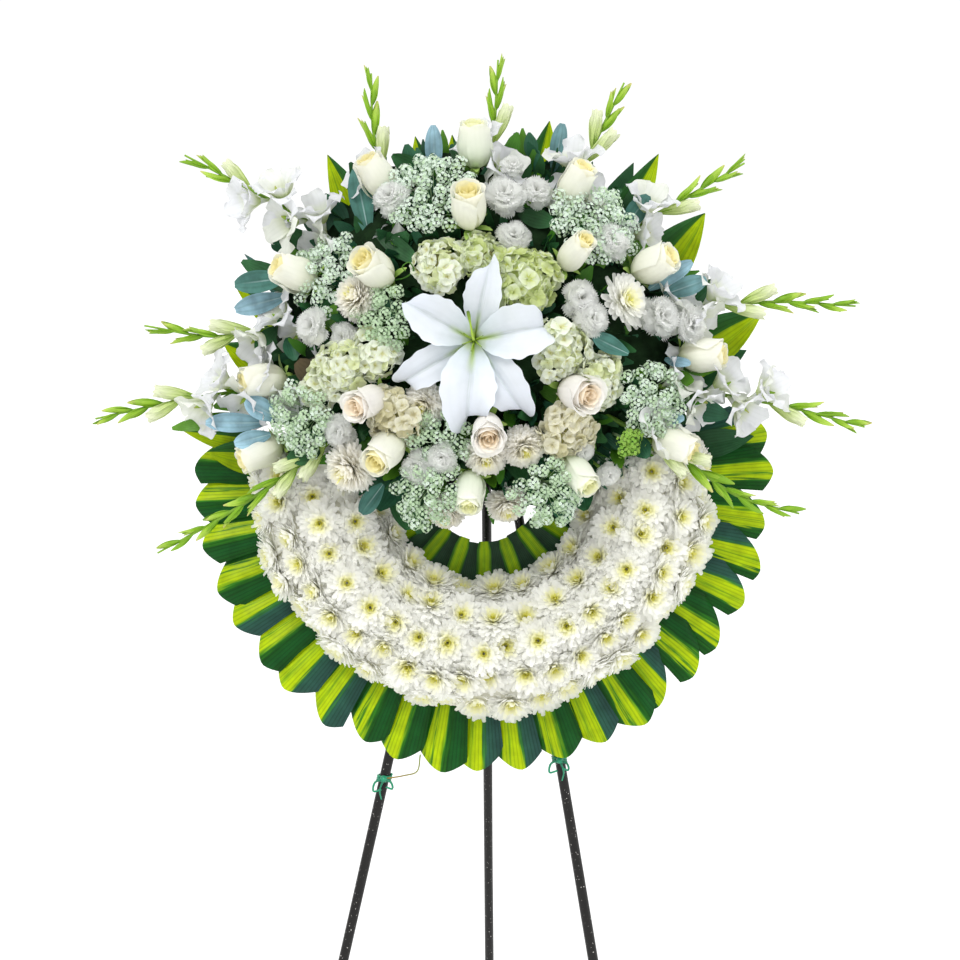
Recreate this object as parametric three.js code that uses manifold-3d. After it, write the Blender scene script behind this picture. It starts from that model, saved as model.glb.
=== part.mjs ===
// Funeral wreath on a tripod stand. Millimetres, +Z up, the floor at Z 0, the front looks along -Y.
// The wreath is a group with its own frame: x runs to the right, z up along the ring, and -y forward, from the
// ring's centre. Places in it are given as u, v, w: right, up, forward. The group leans back on the stand.
import * as THREE from "three";
import { mergeVertices } from "three/addons/utils/BufferGeometryUtils.js";
import Module from "manifold-3d";

const wasm = await Module();
wasm.setup();

// ---- driving dimensions ----
const LEAN = THREE.MathUtils.degToRad(10); // the wreath and the front poles lean back
const RING_HEIGHT = 1200; // ring centre above the floor
const GAP = 0.6; // clearance between neighbouring pieces

const POLE = { radius: 6.5, sides: 14, side: 7.2, top: 165 }; // side: half the distance between the front tops
const FOOT_LEFT = -316;
const FOOT_RIGHT = 241;
const FOOT_REAR = { x: 12, y: 395 };
const TIE_LEFT = -372; // v of the plastic ties
const TIE_RIGHT = -348;

const RING = { back: -24, front: 27 }; // half-round former with a flat back
const BED = { inner: 120, outer: 289, hem: 12, from: 171, to: 371 }; // chrysanthemum bed over the former
const HEAD = { pitch: 41, puff: 11 }; // chrysanthemum heads in the bed
const COLLAR = { inner: 257, outer: 361, pitch: 8.6, scallop: 18, ripple: 6.5, thick: 2.4, from: 170, to: 376 };
const INNER_LEAVES = { from: 220, to: 322, count: 9, root: 151, tip: 68 };

const FOCUS = { u: -5, v: 160, w: 20 }; // the stems radiate from here
const DOME = { u: -5, v: 165, across: 300, along: 290, rim: 62, rise: 128 }; // the heads lie on this dome
const MOUND = { u: -5, v: 165, across: 252, up: 246, down: 158, back: 27.6, rise: 112 }; // packed greenery
const FOAM = { u: -5, v: 203, width: 230, height: 84, depth: 58 };
const LILY = { u: -13, v: 166, w: 176, petal: 109, width: 27 };
const SPIKE = { stem: 3, pitch: 33, first: 0.3 }; // gladiolus

const LOOKS = {
  pole: new THREE.MeshStandardMaterial({ color: 0x14110f, roughness: 0.35, metalness: 0 }),
  wire: new THREE.MeshStandardMaterial({ color: 0x2b2420, roughness: 0.7, metalness: 0.1 }),
  tie: new THREE.MeshStandardMaterial({ color: 0x0f7a55, roughness: 0.4, metalness: 0 }),
  former: new THREE.MeshStandardMaterial({ color: 0x3c4a24, roughness: 0.95, metalness: 0 }),
  foam: new THREE.MeshStandardMaterial({ color: 0x2f5a3a, roughness: 1, metalness: 0 }),
  leaf: new THREE.MeshStandardMaterial({ color: 0x2f6a1c, roughness: 0.45, metalness: 0 }),
  greenery: new THREE.MeshStandardMaterial({ color: 0x1f3a1a, roughness: 0.8, metalness: 0 }),
  white: new THREE.MeshStandardMaterial({ color: 0xf6f4ec, roughness: 0.6, metalness: 0 }),
  cream: new THREE.MeshStandardMaterial({ color: 0xf3ead0, roughness: 0.55, metalness: 0 }),
  spike: new THREE.MeshStandardMaterial({ color: 0x8fb93a, roughness: 0.5, metalness: 0 }),
  lace: new THREE.MeshStandardMaterial({ color: 0xdfe8cf, roughness: 0.8, metalness: 0 }),
};

const { sin, cos, PI, abs, max, min, round } = Math;
const vector = (x, y, z) => new THREE.Vector3(x, y, z);
const W = (u, v, w) => vector(u, -w, v); // a place in the wreath's frame
const polar = (radius, degrees, w) =>
  W(radius * cos((degrees * PI) / 180), radius * sin((degrees * PI) / 180), w);
const spaced = (count, from, to) =>
  Array.from({ length: count }, (_, i) => from + ((to - from) * i) / max(1, count - 1));
const FRONT = W(0, 0, 1);

// ---- scene graph ----
const wreathStand = new THREE.Group();
const stand = new THREE.Group();
const wreath = new THREE.Group();
wreath.position.z = RING_HEIGHT;
wreath.rotation.x = -LEAN;
wreathStand.add(stand, wreath);
wreathStand.updateMatrixWorld(true);

// A named mesh made of one or more closed geometries, standing at position with its own z along direction.
const pieces = [];
function piece(parent, name, look, parts, position = vector(0, 0, 0), direction = vector(0, 0, 1)) {
  const mesh = new THREE.Mesh(parts[0], LOOKS[look].clone());
  mesh.name = name;
  mesh.position.copy(position);
  mesh.quaternion.setFromUnitVectors(vector(0, 0, 1), direction.clone().normalize());
  parent.add(mesh);
  mesh.updateMatrixWorld(true);
  pieces.push({ mesh, parts });
  return mesh;
}

// ---- shapes ----
// Turned body from [radius, height] pairs, up the z axis; wave(angle, height) scales its radius.
function turned(profile, sides, wave) {
  const points = profile.map(([r, z]) => new THREE.Vector2(r, z));
  const geometry = new THREE.LatheGeometry(points, sides).rotateX(PI / 2);
  if (wave) reshape(geometry, (p) => {
    const s = wave(Math.atan2(p.y, p.x), p.z);
    return vector(p.x * s, p.y * s, p.z);
  });
  return geometry;
}
// Moves every vertex of a geometry by a rule.
function reshape(geometry, rule) {
  const position = geometry.getAttribute("position"), p = vector(0, 0, 0);
  for (let i = 0; i < position.count; i++) {
    p.fromBufferAttribute(position, i);
    position.setXYZ(i, ...rule(p).toArray());
  }
  return geometry;
}
// Box of unit sides cut into cells, bent by a rule of s across (-1..1), t along (0..1) and n through (-1..1).
// Its faces are turned round where the rule mirrors it, so that they point out.
function bent(across, along, rule) {
  const geometry = reshape(new THREE.BoxGeometry(1, 1, 1, across, along, 1), (p) =>
    rule(2 * p.x, p.y + 0.5, 2 * p.z));
  const order = geometry.index.array, position = geometry.getAttribute("position");
  const corner = (i) => vector(0, 0, 0).fromBufferAttribute(position, order[i]);
  let volume = 0;
  for (let i = 0; i < order.length; i += 3)
    volume += corner(i).dot(vector(0, 0, 0).crossVectors(corner(i + 1), corner(i + 2)));
  if (volume < 0)
    for (let i = 0; i < order.length; i += 3) [order[i], order[i + 1]] = [order[i + 1], order[i]];
  return geometry;
}
// Straight rod between two points.
function rod(from, to, radius, sides = 5) {
  const along = to.clone().sub(from), length = along.length();
  return new THREE.CylinderGeometry(radius, radius, length, sides)
    .rotateX(PI / 2)
    .applyQuaternion(new THREE.Quaternion().setFromUnitVectors(vector(0, 0, 1), along.divideScalar(length)))
    .translate(...from.clone().add(to).divideScalar(2).toArray());
}
// Bent rod through points.
function cord(points, radius, parts, sides = 5) {
  const outline = new THREE.Shape(spaced(sides + 1, 0, 2 * PI).slice(1)
    .map((a) => new THREE.Vector2(radius * cos(a), radius * sin(a))));
  const extrudePath = new THREE.CatmullRomCurve3(points, false, "centripetal");
  return new THREE.ExtrudeGeometry(outline, { steps: parts, extrudePath, bevelEnabled: false });
}
// Leaf lying in the wreath's plane along an angle, from one radius to another, with a raised middle or edges.
function leaf(angle, root, tip, half, lift, keel, blunt = 0, across = 2, along = 4) {
  const outward = polar(1, angle, 0), side = polar(1, angle + 90, 0);
  return bent(across, along, (s, t, n) => {
    const wide = half * max(blunt * (1 - 0.3 * t * t), t < 0.5 ? 0.84 + 0.16 * sin(PI * t) : cos((t - 0.5) * PI * 0.94));
    const forward = lift + 9 * t * (1 - 0.5 * t) + keel * abs(s) + (n * COLLAR.thick) / 2;
    return outward.clone().multiplyScalar(root + (tip - root) * t)
      .addScaledVector(side, s * wide).addScaledVector(FRONT, forward);
  });
}
// Strip that holds the bases of a row of leaves.
const binding = (from, to, inner, outer, w) =>
  bent(1, round((to - from) / 8), (s, t, n) =>
    polar(inner + ((s + 1) / 2) * (outer - inner), from + (to - from) * t, w + n * 5.5));

// ---- stand ----
const poleW = RING.back - GAP - POLE.radius;
const floorV = -(RING_HEIGHT + poleW * sin(LEAN)) / cos(LEAN);
const onStand = (u, v, w) => wreath.localToWorld(W(u, v, w));
const POLES = {
  pole_left: [onStand(FOOT_LEFT, floorV, poleW), onStand(2 - POLE.side, POLE.top, poleW)],
  pole_right: [onStand(FOOT_RIGHT, floorV, poleW), onStand(2 + POLE.side, POLE.top, poleW)],
  pole_rear: [vector(FOOT_REAR.x, FOOT_REAR.y, 0), onStand(2, POLE.top, poleW - 2 * POLE.radius - 1)],
};
// Each pole runs on below the floor, which then cuts its foot flat.
const floor = new THREE.BoxGeometry(2000, 2000, 200).translate(0, 0, -100);
for (const [name, [foot, top]] of Object.entries(POLES)) {
  const along = top.clone().sub(foot), length = along.length();
  const r = POLE.radius;
  const shape = turned([[0, -30], [r, -30], [r, length - 2], [r - 2, length], [0, length]], POLE.sides);
  piece(stand, name, "pole", [shape], foot, along);
}
// Wire bound round the three poles under their tops.
const lashing = turned([[0, -17], [18, -17], [19.5, 0], [18, 17], [0, 17]], 16).scale(1, 1.08, 1);
piece(wreath, "apex_lashing", "wire", [lashing], W(2, POLE.top - 30, poleW - 9.5), vector(0, 0.09, 1));

// Plastic tie: a band round a pole, with a knot in front and two loose ends.
function tie(name, v, hang) {
  const [foot, top] = POLES[name === "tie_left" ? "pole_left" : "pole_right"];
  const z = onStand(0, v, poleW).z, along = top.clone().sub(foot).normalize();
  const middle = foot.clone().addScaledVector(along, z / along.z);
  const band = turned([[POLE.radius + 3, -5], [POLE.radius + 5, -5], [POLE.radius + 5, 5],
    [POLE.radius + 3, 5], [POLE.radius + 3, -5]], 10);
  const knot = turned([[0, -5], [5, -2], [5, 2], [0, 5]], 6).translate(0, -POLE.radius - 5, 0);
  const start = vector(0, -POLE.radius - 5, 0);
  const ends = [-1, 1].map((side) =>
    cord([start, vector(side * 9 + hang * 3, -16, -13), vector(side * 5 + hang * 8, -18, -32)], 1.5, 3));
  piece(stand, name, "tie", [band, knot, ...ends], middle, along);
}
tie("tie_left", TIE_LEFT, -1);
tie("tie_right", TIE_RIGHT, 1);

// ---- former and floral foam ----
const former = turned([
  [156, -24], [252, -24], [256, -18], [256, 0], [248, 14], [230, 23.5], [204, RING.front],
  [178, 23.5], [160, 14], [152, 0], [152, -18], [156, -24]], 40);
piece(wreath, "ring_base", "former", [former], vector(0, 0, 0), FRONT);
const foam = new THREE.BoxGeometry(FOAM.width, FOAM.depth, FOAM.height);
piece(wreath, "floral_foam", "foam", [foam], W(FOAM.u, FOAM.v, MOUND.back + FOAM.depth / 2));

// ---- chrysanthemum bed ----
// Rows of heads round the bed: [radius, w]. The heads of one row stand between those of the next.
const ROWS = [[276, 34], [246, 62], [206, 74], [166, 64], [134, 38]];
const heads = ROWS.flatMap(([radius, w], row) => {
  const count = round((((BED.to - BED.from) * PI) / 180 * radius) / HEAD.pitch);
  return spaced(count + 1, BED.from, BED.to).slice(1).map((angle) =>
    polar(radius, angle - ((row % 2 ? 0.25 : 0.75) * (BED.to - BED.from)) / count, w));
});
function bed(from, to) {
  return bent(9, round((to - from) / 4.6), (s, t, n) => {
    const angle = from + (to - from) * t, a = ((s + 1) / 2) * PI;
    if (n < 0) { // underside, which follows the former
      const radius = 204 - 52 * s, rise = max(0, 1 - abs(s) ** 2.4);
      const edge = abs(s) > 0.95 ? (s > 0 ? BED.inner : BED.outer) : radius;
      return polar(edge, angle, BED.hem + (abs(s) > 0.95 ? 0 : 1 + 15.8 * rise ** 0.62));
    }
    const p = polar(204 + 83 * cos(a) * (1 - 0.08 * sin(a)), angle, BED.hem + 9 + 53 * sin(a) ** 0.8);
    const near = min(...heads.map((head) => head.distanceTo(p)));
    const puff = HEAD.puff * max(0, 1 - (near / (HEAD.pitch * 0.62)) ** 2) - 3;
    return p.addScaledVector(p.clone().sub(polar(204, angle, 15)).normalize(), abs(s) > 0.95 ? 0 : puff);
  });
}
const bedShare = (BED.to - BED.from) / 3;
["left", "bottom", "right"].forEach((side, i) => {
  const from = BED.from + bedShare * i;
  piece(wreath, `mum_bed_${side}`, "white", [bed(from + 0.1, from + bedShare - 0.1)]);
});

// ---- leaves round the ring ----
// Scalloped collar: folded leaves side by side, each with a rounded, rippled tip.
function collar(from, to) {
  const leaves = round((to - from) / COLLAR.pitch);
  return bent(1, leaves * 5, (s, t, n) => {
    const place = leaves * t, edge = abs(sin(PI * place));
    const outer = COLLAR.outer - COLLAR.scallop * (1 - edge) ** 1.4;
    const share = (s + 1) / 2;
    const w = share * (COLLAR.ripple * sin(2 * PI * place) + 3) + (n * COLLAR.thick) / 2;
    return polar(COLLAR.inner + share * (outer - COLLAR.inner), from + (to - from) * t, w);
  });
}
const collarShare = (COLLAR.to - COLLAR.from) / 3;
["left", "bottom", "right"].forEach((side, i) => {
  const from = COLLAR.from + collarShare * i;
  piece(wreath, `leaf_collar_${side}`, "leaf", [collar(from, from + collarShare - 0.2)]);
});
// Leaves that point into the ring's hole.
piece(wreath, "leaf_collar_inner", "leaf", [
  binding(INNER_LEAVES.from - 6, INNER_LEAVES.to + 6, INNER_LEAVES.root - 13, INNER_LEAVES.root, -1),
  ...spaced(INNER_LEAVES.count, INNER_LEAVES.from, INNER_LEAVES.to).map((angle, i) =>
    leaf(angle, INNER_LEAVES.root - 1, INNER_LEAVES.tip + (i % 2) * 6, 12.5, -4 + (i % 2) * 5, 0, 1, 1, 3)),
]);
// Pointed leaves behind the arrangement: [angle, radius of the tip, half width]
const UPPER_LEFT = [
  [164, 366, 27], [152, 358, 29], [139, 390, 27], [126, 412, 26], [115, 448, 27], [102, 436, 24]];
const UPPER_RIGHT = [
  [89, 424, 24], [79, 450, 25], [65, 444, 26], [60, 460, 20], [50, 434, 29], [40, 392, 26], [30, 408, 27]];
const fan = (leaves, from, to) => [
  binding(from, to, COLLAR.inner, COLLAR.inner + 16, -4),
  ...leaves.map(([angle, tip, half], i) => leaf(angle, COLLAR.inner + 1, tip, half, -7 + (i % 2) * 7, 4)),
];
piece(wreath, "upper_leaves_left", "leaf", fan(UPPER_LEFT, 96, 168));
piece(wreath, "upper_leaves_right", "leaf", fan(UPPER_RIGHT, 26, 95));

// ---- flower heads ----
const focus = W(FOCUS.u, FOCUS.v, FOCUS.w);
// Puts a head of one or more shapes on the dome at u, v, facing away from the focus, on a stem of its own.
function flower(name, look, [u, v, raise], shapes, base, stemLength = 52, stemRadius = 2.4) {
  const w = DOME.rim + raise +
    DOME.rise * (1 - ((u - DOME.u) / DOME.across) ** 2 - ((v - DOME.v) / DOME.along) ** 2);
  const centre = W(u, v, w);
  const stem = rod(vector(0, 0, base + 4), vector(0, 0, base - stemLength), stemRadius);
  piece(wreath, name, look, [...shapes, stem], centre, centre.clone().sub(focus));
}

// Lily: six recurved petals round a throat, and a pistil.
const lilyPetal = (i) => {
  const a = (i * PI) / 3 + 0.1, inner = i % 2, wide = LILY.width * (inner ? 1 : 0.8);
  return bent(2, 5, (s, t, n) => {
    const radius = 3 + LILY.petal * t;
    const x = s * wide * (0.22 + 0.78 * sin(PI * min(1, 0.1 + 0.8 * t))) * (t > 0.99 ? 0.3 : 1);
    const z = 50 * sin((min(1, t * 1.35) * PI) / 2) * (1 - 0.12 * t) - 26 * t ** 3 - 24
      + 5 * s * s * (1 - t) + inner * 2.5 + n * 1.1;
    return vector(radius * cos(a) - x * sin(a), radius * sin(a) + x * cos(a), z);
  });
};
piece(wreath, "lily", "white", [
  ...[0, 1, 2, 3, 4, 5].map(lilyPetal),
  turned([[0, -34], [8, -28], [13, -8], [0, -4]], 8),
  cord([vector(0, 0, -8), vector(1, 3, 22), vector(-2, 12, 44)], 2.2, 3),
  rod(vector(0, 0, -30), vector(0, 2, -76), 3.4, 6),
], W(LILY.u, LILY.v, LILY.w), W(-0.05, -0.08, 1));

// [u, v, raise over the dome]
const ROSES = [
  [-12, 405, 0], [-128, 365, 0], [-18, 322, 2], [107, 355, 0], [105, 270, 0], [200, 260, 0],
  [-225, 250, 0], [-128, 250, 0], [-265, 125, 0], [262, 155, 0], [228, 48, 4], [-270, 38, 8],
  [-135, 95, 0], [4, 62, 0], [108, 107, 0], [-115, 38, 0], [-17, -8, -6], [110, 12, 0]];
ROSES.forEach((place, i) => {
  const bud = turned([[0, -30], [14, -25], [22, -8], [22.5, 10], [17, 29], [11, 27], [0, 21]], 9);
  flower(`rose_${String(i + 1).padStart(2, "0")}`, "cream", place, [bud], -30);
});

// Round head of a radius with lobes round it.
const globe = (r, flat, lobes, depth) => turned(
  [[0, -r * flat], [r * 0.62, -r * flat * 0.8], [r * 0.98, -r * flat * 0.25], [r * 0.9, r * 0.36],
    [r * 0.5, r * 0.68], [0, r * 0.8]], 10, (a, z) => 1 + depth * cos(lobes * a + z));
const BLOOMS = {
  mum_large_upper: [165, 215, 0, 33], mum_large_lower: [-160, 18, 8, 31],
  carnation_right_1: [210, 198, 4, 23], carnation_right_2: [246, 192, 8, 23],
};
for (const [name, [u, v, raise, r]] of Object.entries(BLOOMS))
  flower(name, "white", [u, v, raise], [globe(r, 0.5, 6, 0.05)], -r * 0.45);

const HYDRANGEAS = [[-52, 262, -14, 44], [46, 232, -16, 42], [-178, 140, -8, 38], [88, 160, -16, 30]];
HYDRANGEAS.forEach(([u, v, raise, r], i) =>
  flower(`hydrangea_0${i + 1}`, "cream", [u, v, raise], [globe(r, 0.7, 5, 0.08)], -r * 0.65, 44));

// Umbels of lace flower: a flat top on a cone of fine stalks.
const UMBELS = [[-68, 338, -6, 46], [120, 306, -10, 44], [-216, 78, -4, 44], [196, 102, -6, 42]];
UMBELS.forEach(([u, v, raise, r], i) => {
  const top = turned(
    [[0, -r * 0.7], [6, -r * 0.62], [r, r * 0.04], [r * 0.84, r * 0.28], [0, r * 0.44]], 12,
    (a, z) => (z > 0 ? 1 + 0.07 * cos(6 * a + z) : 1));
  flower(`umbel_0${i + 1}`, "lace", [u, v, raise], [top], -r * 0.66, 42, 2);
});

// ---- gladiolus spikes ----
// path: the stem from the greenery to its tip; open: the share of it with open florets
const GLADIOLI = {
  gladiolus_01: { path: [[-60, 245, 74], [-112, 345, 66], [-134, 425, 58], [-138, 502, 48]], open: 0.5 },
  gladiolus_02: { path: [[2, 265, 78], [8, 360, 72], [13, 440, 62], [17, 518, 50]], open: 0.52 },
  gladiolus_03: { path: [[50, 255, 76], [104, 355, 70], [146, 438, 60], [171, 490, 50]], open: 0.56 },
  gladiolus_04: { path: [[90, 232, 76], [180, 308, 70], [252, 352, 60], [318, 392, 50]], open: 0.5 },
  gladiolus_05: { path: [[120, 192, 78], [262, 214, 66], [360, 222, 56], [455, 218, 44]], open: 0.56 },
  gladiolus_06: { path: [[120, 128, 78], [262, 112, 68], [370, 94, 56], [466, 70, 44]], open: 0.6 },
  gladiolus_07: { path: [[110, 104, 82], [228, 36, 92], [306, -14, 74], [384, -36, 54]], open: 0.3 },
  gladiolus_08: { path: [[-100, 238, 76], [-214, 318, 70], [-292, 362, 60], [-366, 402, 48]], open: 0.62 },
  gladiolus_09: { path: [[-120, 188, 78], [-240, 190, 66], [-330, 180, 56], [-416, 194, 44]], open: 0.52 },
  gladiolus_10: { path: [[-120, 140, 78], [-262, 118, 66], [-370, 102, 56], [-476, 80, 44]], open: 0.62 },
  gladiolus_11: { path: [[-120, 104, 82], [-236, 12, 94], [-320, -42, 76], [-398, -84, 54]], open: 0.18 },
};
const floret = () => turned([[0, 0], [6.5, 14], [24, 33], [0, 29]], 8, (a, z) => (z > 30 ? 1 + 0.1 * cos(4 * a) : 1));
const bud = () => turned([[0, 0], [5.4, 15], [0, 43]], 5);
for (const [name, { path, open }] of Object.entries(GLADIOLI)) {
  const points = path.map(([u, v, w]) => W(u, v, w));
  const curve = new THREE.CatmullRomCurve3(points, false, "centripetal");
  const parts = [cord(points, SPIKE.stem, 5)];
  const count = round(((1 - SPIKE.first) * curve.getLength()) / SPIKE.pitch) + 1;
  spaced(count, SPIKE.first, 0.965).forEach((t, i) => {
    const along = curve.getTangent(t), blooms = t < open;
    const side = vector(0, 0, 0).crossVectors(FRONT, along).multiplyScalar(i % 2 ? 1 : -1);
    const direction = along.clone().multiplyScalar(blooms ? 0.75 : 1.5)
      .addScaledVector(side, 0.62 * (1 - 0.45 * t)).addScaledVector(FRONT, blooms ? 0.5 : 0.1).normalize();
    const size = blooms ? 0.95 : 1 - (0.35 * (t - open)) / (1 - open);
    parts.push((blooms ? floret() : bud()).scale(size, size, size)
      .applyQuaternion(new THREE.Quaternion().setFromUnitVectors(vector(0, 0, 1), direction))
      .translate(...curve.getPoint(t).toArray()));
  });
  piece(wreath, name, "spike", parts);
}

// ---- packed greenery that carries the heads ----
const mound = turned([[0, 0], [1, 0], [0.924, 0.383], [0.707, 0.707], [0.383, 0.924], [0, 1]], 24);
reshape(mound, (p) =>
  vector(p.x * MOUND.across, p.y * (p.y > 0 ? MOUND.up : MOUND.down), p.z * MOUND.rise));
const moundAt = piece(wreath, "foliage_mound", "greenery", [mound], W(MOUND.u, MOUND.v, MOUND.back));
moundAt.rotation.set(PI / 2, 0, 0);
moundAt.updateMatrixWorld(true);

// ---- cuts ----
// Sum of the face normals at each vertex, each by the face's angle there.
function cornerNormals(geometry) {
  const position = geometry.getAttribute("position"), order = geometry.index.array;
  const normals = Array.from({ length: position.count }, () => vector(0, 0, 0));
  for (let i = 0; i < order.length; i += 3) {
    const face = [0, 1, 2].map((k) => vector(0, 0, 0).fromBufferAttribute(position, order[i + k]));
    const normal = new THREE.Triangle(...face).getNormal(vector(0, 0, 0));
    face.forEach((p, k) => {
      const next = face[(k + 1) % 3].clone().sub(p), last = face[(k + 2) % 3].clone().sub(p);
      normals[order[i + k]].addScaledVector(normal, next.angleTo(last));
    });
  }
  return normals;
}
// A geometry as a solid of the whole object's frame, with its surface moved out by grow.
function solidOf(geometry, matrix, grow = 0) {
  const bare = geometry.clone().applyMatrix4(matrix);
  bare.deleteAttribute("normal");
  bare.deleteAttribute("uv");
  const merged = mergeVertices(bare, 1e-3);
  if (grow) {
    const normals = cornerNormals(merged);
    let i = 0;
    reshape(merged, (p) => p.addScaledVector(normals[i++].normalize(), grow));
  }
  return new wasm.Manifold(new wasm.Mesh({
    numProp: 3,
    vertProperties: merged.getAttribute("position").array,
    triVerts: new Uint32Array(merged.index.array),
  }));
}
const joined = (parts, matrix, grow) =>
  parts.map((part) => solidOf(part, matrix, grow)).reduce((all, one) => all.add(one));
function geometryOf(solid) {
  const { vertProperties, triVerts } = solid.getMesh();
  const geometry = new THREE.BufferGeometry();
  geometry.setAttribute("position", new THREE.BufferAttribute(new Float32Array(vertProperties), 3));
  geometry.setIndex(new THREE.BufferAttribute(new Uint32Array(triVerts), 1));
  return mergeVertices(geometry, 1e-3);
}
const largest = (solid) => solid.decompose().sort((a, b) => b.volume() - a.volume())[0];

// Each piece is cut clear of the floor and of the pieces before it, and keeps its largest body.
const upright = new THREE.Matrix4();
const before = [solidOf(floor, upright)];
for (const { mesh, parts } of pieces) {
  let shape = joined(parts, mesh.matrixWorld);
  for (const other of before)
    if (shape.intersect(other).volume() > 0) shape = shape.subtract(other);
  const clean = largest(solidOf(geometryOf(largest(shape)), upright));
  before.push(joined(parts, mesh.matrixWorld, GAP));
  mesh.geometry = geometryOf(clean).applyMatrix4(mesh.matrixWorld.clone().invert());
}

// Origin on the floor under the middle of the object's box.
const box = new THREE.Box3().setFromObject(wreathStand, true);
wreathStand.position.set(-(box.min.x + box.max.x) / 2, -(box.min.y + box.max.y) / 2, -box.min.z);

export default wreathStand;
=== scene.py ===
"""Looks of the funeral wreath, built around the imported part. Metres, in the part's own frame.

The wreath is described as in the part's source: u to the right, v up along the ring and w forward, in
millimetres from the ring's centre; at() brings them into the part's frame. A flower is made round the z axis
of a frame of its own, out of sheets: rows of points along a petal, columns across it. Every point carries
"petal", which the materials read: x along the petal from 0 to 1, y across it from -1 to 1, z a random number
for that petal.
"""

import math

import bpy
import numpy as np
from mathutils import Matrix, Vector


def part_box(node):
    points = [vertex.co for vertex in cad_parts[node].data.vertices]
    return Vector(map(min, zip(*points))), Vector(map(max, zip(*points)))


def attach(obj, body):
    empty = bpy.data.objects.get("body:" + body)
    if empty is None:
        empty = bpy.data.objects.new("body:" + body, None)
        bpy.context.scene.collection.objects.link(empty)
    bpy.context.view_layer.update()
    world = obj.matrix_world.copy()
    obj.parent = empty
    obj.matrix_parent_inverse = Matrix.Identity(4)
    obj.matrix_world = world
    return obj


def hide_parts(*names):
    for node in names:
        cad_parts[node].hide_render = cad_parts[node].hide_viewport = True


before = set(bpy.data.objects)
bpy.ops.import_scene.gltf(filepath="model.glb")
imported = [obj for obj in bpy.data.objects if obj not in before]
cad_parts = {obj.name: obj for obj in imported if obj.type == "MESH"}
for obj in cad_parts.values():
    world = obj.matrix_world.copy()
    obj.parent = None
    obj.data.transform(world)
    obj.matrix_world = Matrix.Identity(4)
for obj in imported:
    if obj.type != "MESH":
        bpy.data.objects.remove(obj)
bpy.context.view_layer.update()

# ---- sizes, as in the part's source (millimetres and degrees) ----
MM = 0.001
LEAN = math.radians(10)
FOCUS = (-5, 160, 20)  # the flower heads face away from this point
DOME = dict(u=-5, v=165, across=300, along=290, rim=62, rise=128)
MOUND = dict(u=-5, v=165, across=252, up=246, down=158, back=27.6, rise=112)
RING_MIDDLE = 204  # radius, halfway across the former and the bed
SIDES = ("left", "bottom", "right")  # pieces of the bed and of the outer collar
# section of the former: (radius, w)
RING_PROFILE = [
    (156, -24), (252, -24), (256, -18), (256, 0), (248, 14), (230, 23.5), (204, 27),
    (178, 23.5), (160, 14), (152, 0), (152, -18), (156, -24)]
# from the middle of the former's box to the ring's centre, because the former is thicker in front; in metres
TO_RING_CENTRE = (0.0, -0.0019, 0.0016)

# ---- the bed of chrysanthemums: rows of heads (radius, w, tilt outwards) ----
BED = dict(start=171, end=371, pitch=38)
BED_ROWS = [(276, 34, 58), (246, 62, 34), (206, 74, 2), (166, 64, -30), (134, 38, -58)]
BED_PULL = dict(bottom=12, right=9)  # how far the outermost row is drawn in there

# ---- leaves behind the flowers ----
COLLAR = dict(inner=257, outer=361, pitch=8.6, start=170, end=376)
COLLAR_TILT = dict(left=0.34, bottom=0.08, right=-0.48)  # where across a leaf its tip lies
INNER_LEAVES = dict(start=202, end=338, count=15, root=151, tip=68)
# upper leaves: (u, v) of the tip, half width, 0 striped, 1 dark, 2 blue-grey
UPPER_ROOT = 225  # radius of their roots
UPPER_LEFT = [
    (-376, 66, 17, 0), (-346, 40, 22, 0), (-326, 176, 26, 0), (-318, 128, 24, 1), (-312, 250, 20, 0),
    (-300, 288, 13, 2), (-256, 308, 22, 1), (-214, 346, 24, 1), (-196, 412, 27, 0), (-164, 398, 26, 2),
    (-110, 404, 22, 1), (-86, 434, 23, 0), (-65, 438, 20, 2), (-40, 436, 22, 0), (-16, 412, 20, 1)]
UPPER_RIGHT = [
    (14, 416, 20, 1), (38, 440, 22, 1), (82, 454, 28, 0), (99, 440, 21, 2), (62, 414, 20, 1),
    (136, 404, 22, 1), (188, 404, 25, 1), (218, 412, 26, 0), (250, 330, 22, 1), (276, 338, 34, 0),
    (300, 262, 22, 1), (348, 216, 31, 0), (330, 168, 22, 1), (338, 60, 18, 1)]

# ---- leaves that stand out one by one ----
# foot, tip, half width, and the leaf's own number, which makes it green above about a half
BLUE_LEAVES = [
    ((-60, 372, 60), (-61, 436, 70), 12, 0.2), ((-138, 298, 98), (-154, 380, 86), 16, 0.75),
    ((-128, 330, 48), (-158, 380, 40), 22, 0.75), ((-262, 74, 84), (-336, 72, 84), 14, 0.1),
    ((-244, 78, 96), (-286, 100, 100), 15, 0.2), ((-256, 60, 90), (-300, 48, 92), 12, 0.3),
    ((84, 380, 60), (97, 438, 66), 12, 0.56), ((166, 304, 86), (198, 348, 80), 14, 0.8),
    ((168, 152, 150), (124, 172, 156), 12, 0.8), ((196, 232, 104), (248, 266, 104), 11, 0.5),
    ((214, 226, 100), (266, 244, 104), 13, 0.52), ((-120, 0, 110), (-146, -36, 104), 14, 0.75),
    ((-236, 246, 100), (-300, 240, 84), 15, 0.8), ((-238, 226, 84), (-302, 212, 60), 14, 0.3),
    ((216, 150, 92), (246, 140, 112), 9, 0.3), ((206, 82, 90), (240, 78, 104), 9, 0.3)]
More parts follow.
